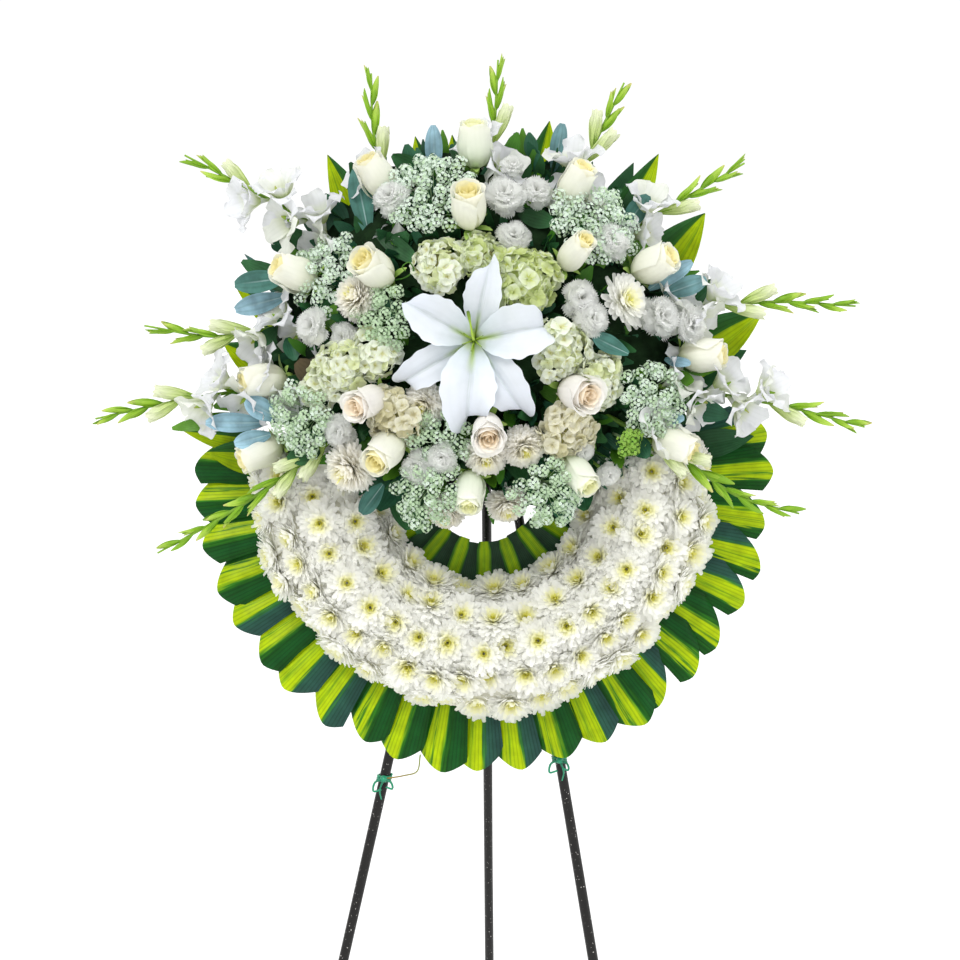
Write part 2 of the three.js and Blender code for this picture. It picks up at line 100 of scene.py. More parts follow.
# foot, tip, half width, 0 dark or 1 bright
GREEN_LEAVES = [
    ((-80, 352, 70), (-94, 412, 74), 13, 0), ((-222, 232, 70), (-296, 270, 60), 14, 0),
    ((-150, 238, 70), (-84, 300, 120), 20, 0), ((-236, 282, 60), (-252, 304, 50), 17, 0),
    ((-206, 262, 66), (-240, 312, 58), 20, 0), ((58, 396, 50), (54, 430, 52), 10, 0),
    ((-130, 302, 104), (-72, 256, 134), 11, 0), ((40, 322, 112), (86, 308, 120), 12, 0),
    ((-72, 372, 74), (-112, 398, 76), 12, 0), ((160, 268, 90), (196, 288, 90), 14, 1),
    ((148, 256, 90), (184, 270, 92), 12, 1), ((-262, 110, 70), (-330, 96, 60), 14, 1),
    ((-300, 84, 56), (-382, 66, 50), 10, 1), ((236, 108, 84), (262, 96, 100), 13, 1),
    ((222, 128, 84), (252, 122, 96), 11, 1), ((240, 140, 80), (280, 138, 84), 9, 1),
    ((-196, 40, 100), (-236, 30, 100), 13, 0), ((180, 56, 96), (196, 30, 108), 12, 0),
    ((-88, 300, 100), (-96, 336, 112), 8, 1), ((-190, 182, 112), (-176, 214, 120), 9, 1),
    ((240, 96, 70), (296, 82, 78), 14, 0), ((-250, 190, 78), (-274, 160, 84), 12, 0),
    ((-236, 176, 88), (-226, 146, 96), 10, 0), ((-170, 300, 70), (-196, 352, 62), 18, 0),
    ((-180, 308, 60), (-214, 344, 58), 11, 1), ((6, 122, 140), (2, 80, 170), 10, 0),
    ((22, 112, 130), (36, 98, 158), 9, 1), ((40, 120, 120), (52, 82, 140), 15, 0),
    ((-36, 292, 112), (-30, 250, 146), 7, 1), ((-30, 272, 130), (-14, 268, 146), 6, 1),
    ((-32, 276, 130), (-46, 284, 146), 6, 1), ((-96, 20, 70), (-128, -34, 76), 18, 0),
    ((-104, 6, 60), (-92, -58, 66), 17, 0), ((-80, 0, 60), (-78, -62, 60), 15, 0),
    ((96, -2, 62), (44, -22, 66), 17, 0), ((92, 14, 70), (50, 6, 70), 15, 0),
    ((112, 50, 58), (166, 16, 62), 22, 0), ((146, 52, 52), (112, 14, 56), 20, 0),
    ((92, 4, 60), (100, -50, 60), 16, 0), ((112, 6, 60), (124, -34, 72), 15, 0),
    ((-112, 20, 90), (-140, -8, 96), 13, 0), ((180, 50, 90), (160, 34, 118), 11, 1),
    ((-140, 226, 110), (-196, 204, 116), 15, 0)]
# foot, tip, half width
BROWN_LEAVES = [
    ((-196, 120, 110), (-222, 146, 112), 14), ((-206, 150, 104), (-196, 128, 116), 12)]
# points of a curled tendril
TENDRIL = [
    (-106, 238, 146), (-92, 240, 156), (-82, 248, 162), (-87, 257, 163), (-95, 252, 162), (-91, 247, 161)]

# ---- flowers of the arrangement ----
LILY = dict(u=-13, v=166, w=176)
# lily petals: direction in degrees, length, half width, how far the tip hooks back
OUTER_PETALS = [(78, 105, 22, 30), (211, 121, 21, 95), (305, 124, 26, 80)]
INNER_PETALS = [(151, 101, 27, 15), (266, 120, 32, 105), (11, 112, 31, 110)]
# roses 1 to 18: (u, v), how far above the dome
ROSES = [
    (-12, 405, 0), (-128, 365, 0), (-18, 322, 2), (107, 355, 0), (105, 270, 0), (200, 260, 0),
    (-225, 250, 0), (-128, 250, 0), (-265, 125, 0), (262, 155, 0), (228, 48, 4), (-270, 38, 8),
    (-135, 95, 0), (4, 62, 0), (108, 107, 0), (-115, 38, 0), (-17, -8, -6), (110, 12, 0)]
# by number: how far open a rose is, and its width as a share
OPEN_ROSES = {13: 0.7, 14: 0.7, 15: 0.7, 3: 0.4, 4: 0.3, 6: 0.3, 16: 0.3, 8: 0.35}
SLIM_ROSES = {4: 0.88, 5: 0.8, 13: 0.84, 14: 0.84, 15: 0.93, 17: 0.82, 18: 0.87}
PEACH_HEARTS = (13, 14, 15)
GREEN_ROSES = (1, 17, 18)
# the other heads: (u, v), how far above the dome, radius
HYDRANGEAS = [
    (-50, 254, -20, 31), (46, 238, -20, 38), (-168, 134, -16, 31), (88, 156, -20, 33), (132, 122, -22, 30),
    (96, 66, -22, 34), (-104, 78, -22, 33), (-6, 264, -26, 28), (-128, 150, -22, 27), (-196, 112, -20, 24)]
LIME_HYDRANGEAS = (2, 8)
BEIGE_HYDRANGEAS = (6, 7)
UMBELS = [
    (-64, 336, -20, 52), (124, 304, -22, 52), (-214, 78, -10, 42), (196, 102, -16, 42),
    (-182, 250, -30, 44), (-112, 190, -18, 34), (-52, 52, -26, 36), (-66, -12, -10, 38), (72, -8, -8, 40)]
# by number: how green the head is, partly the florets' own colour and partly painted shade that darkens the
# low heads in the shadow between the flowers
GREEN_AND_SHADED_UMBELS = {3: 0.25, 4: 0.15, 6: 0.5, 7: 0.35, 8: 0.3, 9: 0.25}
FILLER = (172, 50, -4, 9)  # small green head
CARNATIONS = dict(
    carnation_right_1=(210, 198, 4, 24), carnation_right_2=(246, 192, 8, 24),
    carnation_top_1=(24, 340, 0, 24), carnation_top_2=(62, 346, -6, 19), carnation_top_3=(-110, 339, 8, 21),
    carnation_top_4=(34, 290, -12, 19), carnation_top_5=(152, 286, 4, 22),
    carnation_mid_1=(112, 216, -4, 21), carnation_mid_2=(126, 192, 2, 20),
    carnation_left_1=(-204, 186, 2, 21), carnation_left_2=(-166, 172, -16, 17),
    carnation_low_1=(-172, 62, 0, 19), carnation_low_2=(-78, 18, -4, 20), carnation_low_3=(-50, 30, 2, 17),
    carnation_low_4=(148, 10, -2, 14), carnation_low_5=(118, 38, -8, 12), carnation_top_6=(33, 379, -4, 13))
LARGE_MUMS = dict(
    mum_large_upper=(165, 215, 0, 33), mum_large_lower=(-160, 18, 8, 31), mum_mid_1=(-70, 92, -20, 26),
    mum_mid_2=(46, 42, -14, 26), mum_mid_3=(-150, 219, -8, 28), mum_low_1=(2, 32, -16, 26),
    mum_low_2=(27, -26, -34, 25), mum_low_3=(-46, -34, -36, 25))
# gladiolus spikes 1 to 11: points along the spike, share of its length with open flowers
GLADIOLI = [
    ([(-60, 245, 74), (-112, 345, 66), (-134, 425, 58), (-138, 502, 48)], 0.5),
    ([(2, 265, 78), (8, 360, 72), (13, 440, 62), (17, 518, 50)], 0.52),
    ([(50, 255, 76), (104, 355, 70), (146, 438, 60), (171, 490, 50)], 0.56),
    ([(90, 232, 76), (180, 308, 70), (252, 352, 60), (318, 392, 50)], 0.5),
    ([(120, 192, 78), (262, 214, 66), (360, 222, 56), (455, 218, 44)], 0.48),
    ([(120, 128, 78), (262, 112, 68), (370, 94, 56), (466, 70, 44)], 0.6),
    ([(110, 104, 82), (228, 36, 92), (306, -14, 74), (384, -36, 54)], 0.3),
    ([(-100, 238, 76), (-214, 318, 70), (-292, 362, 60), (-366, 402, 48)], 0.62),
    ([(-120, 188, 78), (-240, 190, 66), (-330, 180, 56), (-416, 194, 44)], 0.52),
    ([(-120, 140, 78), (-262, 118, 66), (-370, 102, 56), (-476, 80, 44)], 0.62),
    ([(-120, 104, 82), (-236, 12, 94), (-320, -42, 76), (-398, -84, 54)], 0.18)]

# ---- studio ----
FLOOR_HALF = 30
WORLD_LIGHT = 1.06
# sun lamps: name, direction, angle in degrees, strength
LAMPS = [("key", (0.35, 0.62, -0.9), 24, 1.45), ("side", (-0.9, 0.5, -0.4), 40, 0.35)]
# the camera looks straight at the leaning ring: place in millimetres, width of what it sees there in metres
CAMERA = dict(u=-5, v=5, w=2200, width=1.2, sensor=36)

# ---- the wreath's frame ----
RING_CENTRE = (np.array(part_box("ring_base")[0]) + np.array(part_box("ring_base")[1])) / 2 + TO_RING_CENTRE
ACROSS = np.array([1.0, 0.0, 0.0])
UP = np.array([0.0, math.sin(LEAN), math.cos(LEAN)])
FRONT = np.array([0.0, -math.cos(LEAN), math.sin(LEAN)])


def at(u, v, w):
    """Points of the part's frame, in metres."""
    u, v, w = np.broadcast_arrays(*(np.asarray(x, float) for x in (u, v, w)))
    return RING_CENTRE + MM * (u[..., None] * ACROSS + v[..., None] * UP + w[..., None] * FRONT)


def polar(radius, degrees, w):
    """Points round the ring's centre, counted anticlockwise from its right-hand side."""
    a = np.radians(degrees)
    return at(radius * np.cos(a), radius * np.sin(a), w)


def outwards(degrees):
    """Direction away from the ring's centre."""
    a = math.radians(degrees)
    return math.cos(a) * ACROSS + math.sin(a) * UP


def dome(u, v):
    """w of the dome that the flower heads lie on."""
    across = (u - DOME["u"]) / DOME["across"]
    along = (v - DOME["v"]) / DOME["along"]
    return DOME["rim"] + DOME["rise"] * (1 - across**2 - along**2)


def unit(vector):
    """The same direction, one long."""
    return vector / np.linalg.norm(vector, axis=-1, keepdims=True)


def facing(centre, direction, spin=0.0):
    """4x4 matrix in metres whose z axis runs along direction; the frame's own lengths are millimetres."""
    z = unit(np.asarray(direction, float))
    x = unit(np.cross(UP + 0.01 * ACROSS, z))
    y = np.cross(z, x)
    m = np.eye(4)
    m[:3, 0] = (x * math.cos(spin) + y * math.sin(spin)) * MM
    m[:3, 1] = (y * math.cos(spin) - x * math.sin(spin)) * MM
    m[:3, 2] = z * MM
    m[:3, 3] = centre
    return m


def on_dome(u, v, raised, spin=0.0, forward=0.0):
    """Frame of a head that lies on the dome and faces outwards; forward turns it more to the front."""
    centre = at(u, v, dome(u, v) + raised)
    return facing(centre, unit(centre - at(*FOCUS)) + forward * FRONT, spin)


def floret_frame(z, place, reference):
    """Frame inside a head: its z axis and its place; reference fixes how it is turned."""
    m = np.eye(4)
    x = unit(np.cross(reference, z))
    m[:3, 0] = x
    m[:3, 1] = np.cross(z, x)
    m[:3, 2] = z
    m[:3, 3] = place
    return m


def moved(points, matrix):
    """Points of a flower's own frame, in the frame of matrix."""
    return points @ matrix[:3, :3].T + matrix[:3, 3]


def marks_of(*values):
    """The "petal" numbers of a sheet, from what varies along it, across it, and from petal to petal."""
    return np.stack(np.broadcast_arrays(*values), -1)


# ---- meshes ----
def placed(name, data):
    """New object in the scene."""
    thing = bpy.data.objects.new(name, data)
    bpy.context.scene.collection.objects.link(thing)
    return thing


class Mass:
    """Sheets gathered into one piece."""

    def __init__(self, *materials):
        self.materials = materials
        self.points = []
        self.marks = []
        self.quads = []
        self.slots = []
        self.total = 0

    def sheets(self, points, marks, slot=0, wrap=False, matrix=None):
        """points and marks have the shape (sheets, rows, columns, 3); wrap joins last column and first."""
        if matrix is not None:
            points = moved(points, matrix)
        n, rows, columns, _ = points.shape
        base = self.total + np.arange(n)[:, None, None] * rows * columns
        i = np.arange(rows - 1)[None, :, None] * columns
        j = np.arange(columns if wrap else columns - 1)[None, None, :]
        k = (j + 1) % columns
        corners = (base + i + j, base + i + k, base + i + columns + k, base + i + columns + j)
        quads = np.stack(np.broadcast_arrays(*corners), -1).reshape(-1, 4)
        self.points.append(points.reshape(-1, 3))
        self.marks.append(np.broadcast_to(marks, points.shape).reshape(-1, 3))
        self.quads.append(quads)
        self.slots.append(np.full(len(quads), slot))
        self.total += n * rows * columns

    def build(self, name, replaces=(), slot=None):
        """One mesh object that rides on the root body and stands for the CAD nodes it replaces."""
        points = np.concatenate(self.points)
        quads = np.concatenate(self.quads)
        mesh = bpy.data.meshes.new(name)
        mesh.vertices.add(len(points))
        mesh.vertices.foreach_set("co", points.ravel())
        mesh.loops.add(quads.size)
        mesh.loops.foreach_set("vertex_index", quads.ravel())
        mesh.polygons.add(len(quads))
        mesh.polygons.foreach_set("loop_start", np.arange(len(quads)) * 4)
        mesh.polygons.foreach_set("use_smooth", np.ones(len(quads), bool))
        for material in self.materials:
            mesh.materials.append(material)
        mesh.polygons.foreach_set("material_index", np.concatenate(self.slots))
        marks = mesh.attributes.new("petal", "FLOAT_VECTOR", "POINT")
        marks.data.foreach_set("vector", np.concatenate(self.marks).ravel())
        mesh.update(calc_edges=True)
        piece = placed(name, mesh)
        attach(piece, "root")
        if replaces:
            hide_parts(*replaces)


def column(values):
    """One number for each petal, with the shape of a sheet."""
    return np.atleast_1d(np.asarray(values, float))[:, None, None]


# Width along a petal or leaf, as a share of its widest, for t from 0 at the foot to 1 at the tip.
def spoon(t):
    """A petal that is widest past its middle and stays broad at the tip."""
    return 0.38 + 0.62 * np.sin(np.pi * np.clip(0.04 + 0.62 * t, 0, 1)) - 0.3 * np.clip(t - 0.8, 0, 1) / 0.2


def oval(t):
    """Round at both ends."""
    return np.sqrt(np.clip(np.sin(np.pi * (0.04 + 0.92 * t)), 0, 1))


def lance(t):
    """Narrow at both ends."""
    return np.sin(np.pi * np.clip(0.06 + 0.9 * t, 0, 1)) ** 0.8


def fan(t):
    """A carnation petal, which keeps widening."""
    return 0.15 + 0.85 * np.sin(np.pi * 0.55 * t)


def wedge(t):
    """A petal of a tiny floret."""
    return 0.6 + 0.4 * t


def floret_shape(t):
    """A gladiolus petal: broad, with a round end."""
    return np.sin(np.pi * np.clip(0.06 + 0.86 * t, 0, 1)) ** 0.55 * (0.62 + 0.5 * t)


def lily_shape(t):
    """A lily petal: narrow foot, broad middle, short point."""
    outline = np.sin(np.pi * np.clip(0.05 + 0.94 * t, 0, 1) ** 1.25) ** 0.7
    return outline * (0.52 + 0.62 * np.clip(t, 0, 0.55)) * 1.16 + 0.01


def elliptic(t):
    """A leaf widest past its middle with a short blunt tip."""
    return np.sin(np.pi * np.clip(0.06 + 0.91 * t, 0, 1) ** 1.15) ** 0.62 * (0.8 + 0.2 * t)


def sword(t):
    """A broad leaf that keeps its width and then tapers to a point."""
    body = 0.78 + 0.22 * np.sin(np.pi * t / 1.1)
    point = np.clip(1 - (np.clip(t - 0.55, 0, 1) / 0.455) ** 1.8, 0.01, 1)
    return np.where(t < 0.55, body, point)


def strap(t):
    """A leaf of the inner collar: nearly even, with a blunt end."""
    return 1.1 - 0.24 * t - 0.5 * np.clip(t - 0.92, 0, 1) * 6


def petals(mass, azimuth, lean, curl, length, width, rng, *, rows=4, columns=3, base=0.0, height=0.0,
           cup=0.25, shape=spoon, ruffle=0.0, waves=2.0, groove=0.0, ridge=0.0, twist=0.0, jag=0.0,
           frill=0.0, frills=19.0, tip=0.0, hook=0.0, slot=0, matrix=None, mark=None):
    """Petals round the z axis. lean is the angle from the axis at the foot, curl what is added by the tip,
    hook what the last stretch adds; tip is the share by which the edges end before the middle."""
    azimuth = column(azimuth)
    n = len(azimuth)
    lean, curl, length, width = (np.broadcast_to(column(x), (n, 1, 1)) for x in (lean, curl, length, width))
    base, height = (np.broadcast_to(column(x), (n, 1, 1)) for x in (base, height))
    t = np.linspace(0, 1, rows)[None, :, None]
    s = np.linspace(-1, 1, columns)[None, None, :]
    seed = rng.random((n, 1, 1))
    # the middle line, from the angle of each stretch
    step = 1 / (rows - 1)
    half_way = t[:, 1:] - step / 2
    angle = np.radians(lean + curl * t + hook * t**6)
    middle = np.radians(lean + curl * half_way + hook * half_way**6)
    start = np.zeros((n, 1, 1))
    along = length * (1 - tip * s**2 * t**3 + jag * np.sin(s * 17 + seed * 9) * (t > 0.9))
    out = base + along * np.concatenate([start, np.cumsum(np.sin(middle) * step, 1)], 1)
    rise = height + along * np.concatenate([start, np.cumsum(np.cos(middle) * step, 1)], 1)
    # what lies to each side of it, and how far that is lifted off a flat petal
    side = s * width * shape(t) * np.ones_like(out)
    if frill:
        side = side * (1 + frill * np.abs(s) ** 3 * np.sin(frills * t + 6.3 * seed + 1.9 * np.sign(s)) * t)
    rib = ridge * np.exp(-(((np.abs(s) - 0.13) / 0.06) ** 2)) - groove * np.exp(-((s / 0.22) ** 2))
    lift = width * (cup * s**2 * shape(t) + rib * np.sin(np.pi * t) ** 0.5)
    wave = np.sin(np.pi * waves * (t + 0.3) + 6.3 * seed + np.sign(s) * 1.3)
    lift = lift + ruffle * t**1.5 * wave * np.abs(s) ** 1.5
    lift = lift + twist * s * t * (seed - 0.5) * width
    radial = out - np.cos(angle) * lift
    z = rise + np.sin(angle) * lift
    x = radial * np.cos(azimuth) - side * np.sin(azimuth)
    y = radial * np.sin(azimuth) + side * np.cos(azimuth)
    if mark is not None:
        seed = column(mark) + 0.1 * (seed - 0.5)
    mass.sheets(np.stack([x, y, z * np.ones_like(x)], -1), marks_of(t, s, seed), slot, matrix=matrix)


def blades(mass, root, along, up, length, half, rng, *, rows=7, columns=5, bend=0.0, fold=0.12, wave=0.0,
           shape=lance, slot=0, mark=None):
    """Leaves from root points, each along a direction with its upper face towards up; in millimetres."""
    root, along, up = (np.atleast_2d(np.asarray(x, float)) for x in (root, along, up))
    n = len(root)
    along = np.broadcast_to(unit(along), (n, 3))
    up = np.broadcast_to(up, (n, 3))
    across = unit(np.cross(along, up))
    up = np.cross(across, along)
    length, half, bend = (np.broadcast_to(column(x), (n, 1, 1)) for x in (length, half, bend))
    t = np.linspace(0, 1, rows)[None, :, None]
    s = np.linspace(-1, 1, columns)[None, None, :]
    seed = rng.random((n, 1, 1))
    side = half * shape(t) * s
    lift = length * bend * t**2 + half * fold * np.abs(s) * shape(t)
    lift = lift + wave * t * np.sin(5.5 * t + 6.3 * seed + 0.8 * s) * np.abs(s)
    forward = length * t * (1 - 0.4 * np.abs(bend) * t) * np.ones_like(side)
    points = root[:, None, None] + MM * (
        forward[..., None] * along[:, None, None] + side[..., None] * across[:, None, None]
        + lift[..., None] * up[:, None, None])
    if mark is not None:
        seed = mark + 0.1 * (seed - 0.5)
    mass.sheets(points, marks_of(t, s, seed), slot)


def blade_between(mass, foot, tip, up, half, rng, **options):
    """One leaf from foot to tip, both (u, v, w)."""
    start = at(*foot)
    end = at(*tip)
    blades(mass, start, end - start, up, np.linalg.norm(end - start) / MM, half, rng, **options)


def curve_through(points, count):
    """Points evenly spread in parameter along a smooth curve through points (Catmull-Rom)."""
    points = np.asarray(points, float)
    ends = np.vstack([2 * points[0] - points[1], points, 2 * points[-1] - points[-2]])
    x = np.linspace(0, len(points) - 1, count)
    i = np.minimum(x.astype(int), len(points) - 2)
    f = (x - i)[:, None]
    a, b, c, d = (ends[i + k] for k in range(4))
    return 0.5 * (2 * b + (c - a) * f + (2 * a - 5 * b + 4 * c - d) * f**2 + (3 * b - a - 3 * c + d) * f**3)


def tube(mass, path, radius, sides=8, slot=0):
    """Round rod with closed ends along points in metres; radius in millimetres, one or one for each point."""
    path = np.asarray(path, float)
    radius = np.broadcast_to(np.asarray(radius, float), (len(path),)) * MM
    tangent = unit(np.gradient(path, axis=0) + 1e-12)
    reference = np.array([0.31, 0.17, 0.93])
    x = unit(reference - (tangent @ reference)[:, None] * tangent)
    y = np.cross(tangent, x)
    a = evenly(sides)
    ring = path[:, None] + radius[:, None, None] * (
        np.cos(a)[None, :, None] * x[:, None] + np.sin(a)[None, :, None] * y[:, None])
    ring = np.concatenate([np.repeat(path[:1, None], sides, 1), ring, np.repeat(path[-1:, None], sides, 1)])
    t = np.linspace(0, 1, len(ring))[:, None]
    mass.sheets(ring[None], marks_of(t, np.cos(a)[None, :], 0.5)[None], slot, wrap=True)


def spun(mass, profile, sides, slot=0, matrix=None, seed=0.5, wave=None):
    """Turned surface from (radius, height) pairs round the z axis."""
    profile = np.asarray(profile, float)
    a = evenly(sides)
    t = np.linspace(0, 1, len(profile))[:, None]
    r = profile[:, :1] * (1 if wave is None else wave(a[None], t))
    points = np.stack([r * np.cos(a), r * np.sin(a), profile[:, 1:] * np.ones_like(a)], -1)
    mass.sheets(points[None], marks_of(t, np.cos(a)[None], seed)[None], slot, wrap=True, matrix=matrix)


def fibonacci(count, spread):
    """Directions spread evenly round +z, out to the angle spread."""
    i = np.arange(count) + 0.5
    from_axis = np.arccos(1 - (1 - math.cos(spread)) * i / count)
    azimuth = i * 2.399963
    across = np.sin(from_axis)
    return np.stack([across * np.cos(azimuth), across * np.sin(azimuth), np.cos(from_axis)], -1)


def evenly(count):
    """count angles round a circle."""
    return np.arange(count) * 2 * np.pi / count


# ---- materials ----
BLACK = (0.0, 0.0, 0.0)
WHITE = (1.0, 1.0, 1.0)


def set_input(tree, socket, value):
    """Link a socket to what feeds it, or give it a colour or a number."""
    if isinstance(value, bpy.types.NodeSocket):
        tree.links.new(value, socket)
    else:
        socket.default_value = (*value, 1) if isinstance(value, tuple) else value


def ramp(tree, stops, value):
    """Colour that value finds between the stops, which are (place, colour)."""
    node = tree.nodes.new("ShaderNodeValToRGB")
    while len(node.color_ramp.elements) < len(stops):
        node.color_ramp.elements.new(0.5)
    for element, (place, colour) in zip(node.color_ramp.elements, stops):
        element.position = place
        element.color = (*colour, 1)
    tree.links.new(value, node.inputs[0])
    return node.outputs[0]


def math_node(tree, operation, *values):
    """Result of a sum on numbers or sockets."""
    node = tree.nodes.new("ShaderNodeMath")
    node.operation = operation
    for socket, value in zip(node.inputs, values):
        set_input(tree, socket, value)
    return node.outputs[0]


def mixed(tree, kind, share, first, second):
    """Two colours mixed."""
    node = tree.nodes.new("ShaderNodeMix")
    node.data_type = "RGBA"
    node.blend_type = kind
    for socket, value in zip((node.inputs["Factor"], node.inputs[6], node.inputs[7]), (share, first, second)):
        set_input(tree, socket, value)
    return node.outputs[2]


def noise(tree, place, scale, detail=3.0):
    """Cloudy value between 0 and 1."""
    node = tree.nodes.new("ShaderNodeTexNoise")
    node.inputs["Scale"].default_value = scale
    node.inputs["Detail"].default_value = detail
    tree.links.new(place, node.inputs["Vector"])
    return node.outputs["Fac"]


def striped(tree, colour, stripes, mirrored, along, across, seed):
    """Colour times wavering stripes from edge to edge; mirrored swaps the edges of half of the leaves."""
    point = tree.nodes.new("ShaderNodeCombineXYZ")
    for socket, value, scale in zip(point.inputs, (across, seed, along), (3.0, 60.0, 0.7)):
        tree.links.new(math_node(tree, "MULTIPLY", value, scale), socket)
    waver = noise(tree, point.outputs[0], 2.5, 2.0)
    if mirrored:
        side = math_node(tree, "MULTIPLY_ADD", math_node(tree, "GREATER_THAN", seed, 0.5), 2.0, -1.0)
        across = math_node(tree, "MULTIPLY", across, side)
    middle = math_node(tree, "MULTIPLY_ADD", across, 0.5, 0.38)
    place = math_node(tree, "MULTIPLY_ADD", waver, 0.24, middle)
    return mixed(tree, "MULTIPLY", 1.0, colour, ramp(tree, stripes, place))


def toned(tree, colour, other, seed):
    """Some petals in another tone: other is (tone, the petal number it starts at, its share)."""
    tone, threshold, share = other
    chosen = ramp(tree, [(threshold - 0.08, BLACK), (threshold + 0.08, WHITE)], seed)
    return mixed(tree, "MIX", math_node(tree, "MULTIPLY", chosen, share), colour, tone)


def veined(tree, colour, veins, lines):
    """Colour darkened in fine lines."""
    line = ramp(tree, [(0.55, BLACK), (1.0, WHITE)], math_node(tree, "MULTIPLY_ADD", lines, 0.5, 0.5))
    return mixed(tree, "MULTIPLY", math_node(tree, "MULTIPLY", line, veins), colour, (0.35, 0.42, 0.3))


def with_midrib(tree, colour, midrib, along, across):
    """Another tone up the middle from the foot: midrib is (tone, reach, half width)."""
    tone, reach, half = midrib
    near = ramp(tree, [(0.0, WHITE), (reach, BLACK)], along)
    centre = ramp(tree, [(half * 0.3, WHITE), (half, BLACK)], math_node(tree, "ABSOLUTE", across))
    return mixed(tree, "MIX", math_node(tree, "MULTIPLY", near, centre), colour, tone)


def flecked(tree, colour, fleck, place):
    """Small spots: fleck is (tone, threshold, how many to the metre)."""
    tone, threshold, scale = fleck
    spots = ramp(tree, [(threshold, BLACK), (threshold + 0.04, WHITE)], noise(tree, place, scale, 1.0))
    return mixed(tree, "MIX", spots, colour, tone)


def translucent(tree, shader, colour, normal, share):
    """A share of the light passes through."""
    through = tree.nodes.new("ShaderNodeBsdfTranslucent")
    tree.links.new(colour, through.inputs["Color"])
    tree.links.new(normal, through.inputs["Normal"])
    mix = tree.nodes.new("ShaderNodeMixShader")
    for socket, value in zip(mix.inputs, (share, shader.outputs[0], through.outputs[0])):
        set_input(tree, socket, value)
    tree.links.new(mix.outputs[0], tree.nodes["Material Output"].inputs["Surface"])


def plant(name, stops, *, other=None, stripes=None, mirrored=False, midrib=None, fleck=None, veins=0.0,
          vein_count=14, ribs=0.35, grain=600.0, patch=0.12, bump=0.25, roughness=0.5, specular=0.3,
          coat=0.0, thin=0.0):
    """Petal or leaf material. stops run along it, stripes across it; other, midrib and fleck add tones of
    their own. veins darken fine lines along it and ribs raise them; grain is the fineness of its surface and
    bump its strength; patch is how far broad patches darken it; thin is the share of light that passes."""
    material = bpy.data.materials.new(name)
    material.use_nodes = True
    tree = material.node_tree
    shader = tree.nodes["Principled BSDF"]
    petal = tree.nodes.new("ShaderNodeAttribute")
    petal.attribute_name = "petal"
    parts = tree.nodes.new("ShaderNodeSeparateXYZ")
    tree.links.new(petal.outputs["Vector"], parts.inputs[0])
    along, across, seed = parts.outputs
    place = tree.nodes.new("ShaderNodeTexCoord").outputs["Object"]
    broad = noise(tree, place, 60.0)
    fine = noise(tree, place, grain)
    lines = math_node(tree, "SINE", math_node(tree, "MULTIPLY", across, vein_count))
    wander = math_node(tree, "MULTIPLY_ADD", broad, 0.2, along)
    colour = ramp(tree, stops, math_node(tree, "SUBTRACT", wander, 0.1))
    if stripes:
        colour = striped(tree, colour, stripes, mirrored, along, across, seed)
    if other:
        colour = toned(tree, colour, other, seed)
    if veins:
        colour = veined(tree, colour, veins, lines)
    if midrib:
        colour = with_midrib(tree, colour, midrib, along, across)
    colour = mixed(tree, "MULTIPLY", 1.0, colour, ramp(tree, [(0.3, (1 - patch,) * 3), (0.7, WHITE)], broad))
    if fleck:
        colour = flecked(tree, colour, fleck, place)
    relief = tree.nodes.new("ShaderNodeBump")
    relief.inputs["Strength"].default_value = bump
    relief.inputs["Distance"].default_value = 0.0004
    tree.links.new(math_node(tree, "MULTIPLY_ADD", lines, ribs, fine), relief.inputs["Height"])
    smoothest = max(0.0, roughness - 0.1)
    roughest = min(1.0, roughness + 0.1)
    gloss = ramp(tree, [(0.3, (smoothest,) * 3), (0.7, (roughest,) * 3)], fine)
    values = {
        "Base Color": colour, "Roughness": gloss, "Normal": relief.outputs[0],
        "Specular IOR Level": specular, "Coat Weight": coat, "Coat Roughness": 0.3}
    for socket, value in values.items():
        set_input(tree, shader.inputs[socket], value)
    if thin:
        translucent(tree, shader, colour, relief.outputs[0], thin)
    return material


MUM = dict(vein_count=9, roughness=0.7, thin=0.65)
mum_white = plant(
    "chrysanthemum_petal",
    [(0.0, (0.94, 0.93, 0.66)), (0.2, (0.98, 0.975, 0.88)), (0.45, (0.99, 0.99, 0.965))],
    other=((0.99, 0.98, 0.7), 0.6, 0.8), veins=0.02, ribs=0.12, patch=0.01, **MUM)
mum_cream = plant(
    "cream_chrysanthemum_petal",
    [(0.0, (0.95, 0.92, 0.76)), (0.5, (0.98, 0.965, 0.9)), (1.0, (0.99, 0.98, 0.95))],
    other=((0.97, 0.94, 0.74), 0.8, 0.6), veins=0.03, ribs=0.15, patch=0.02, **MUM)
mum_heart = plant(
    "chrysanthemum_heart", [(0.0, (0.62, 0.62, 0.08)), (0.35, (0.93, 0.9, 0.16)), (1.0, (0.98, 0.96, 0.45))],
    roughness=0.7, patch=0.1, thin=0.3)

ROSE = dict(veins=0.02, vein_count=22, ribs=0.08, roughness=0.6, patch=0.03, thin=0.45)
rose_cream = plant(
    "rose_petal", [(0.0, (0.84, 0.88, 0.62)), (0.3, (0.94, 0.95, 0.82)), (0.8, (0.955, 0.96, 0.895))],
    other=((1.0, 0.93, 0.54), 0.46, 0.9), **ROSE)
rose_green = plant(
    "green_white_rose_petal",
    [(0.0, (0.76, 0.86, 0.56)), (0.4, (0.9, 0.95, 0.82)), (0.9, (0.95, 0.96, 0.89))],
    other=((0.97, 0.97, 0.62), 0.46, 0.8), **ROSE)
rose_peach = plant(
    "peach_rose_petal", [(0.0, (0.9, 0.88, 0.72)), (0.4, (0.97, 0.95, 0.9)), (0.9, (0.97, 0.96, 0.94))],
    other=((1.0, 0.89, 0.72), 0.5, 0.85), **ROSE)
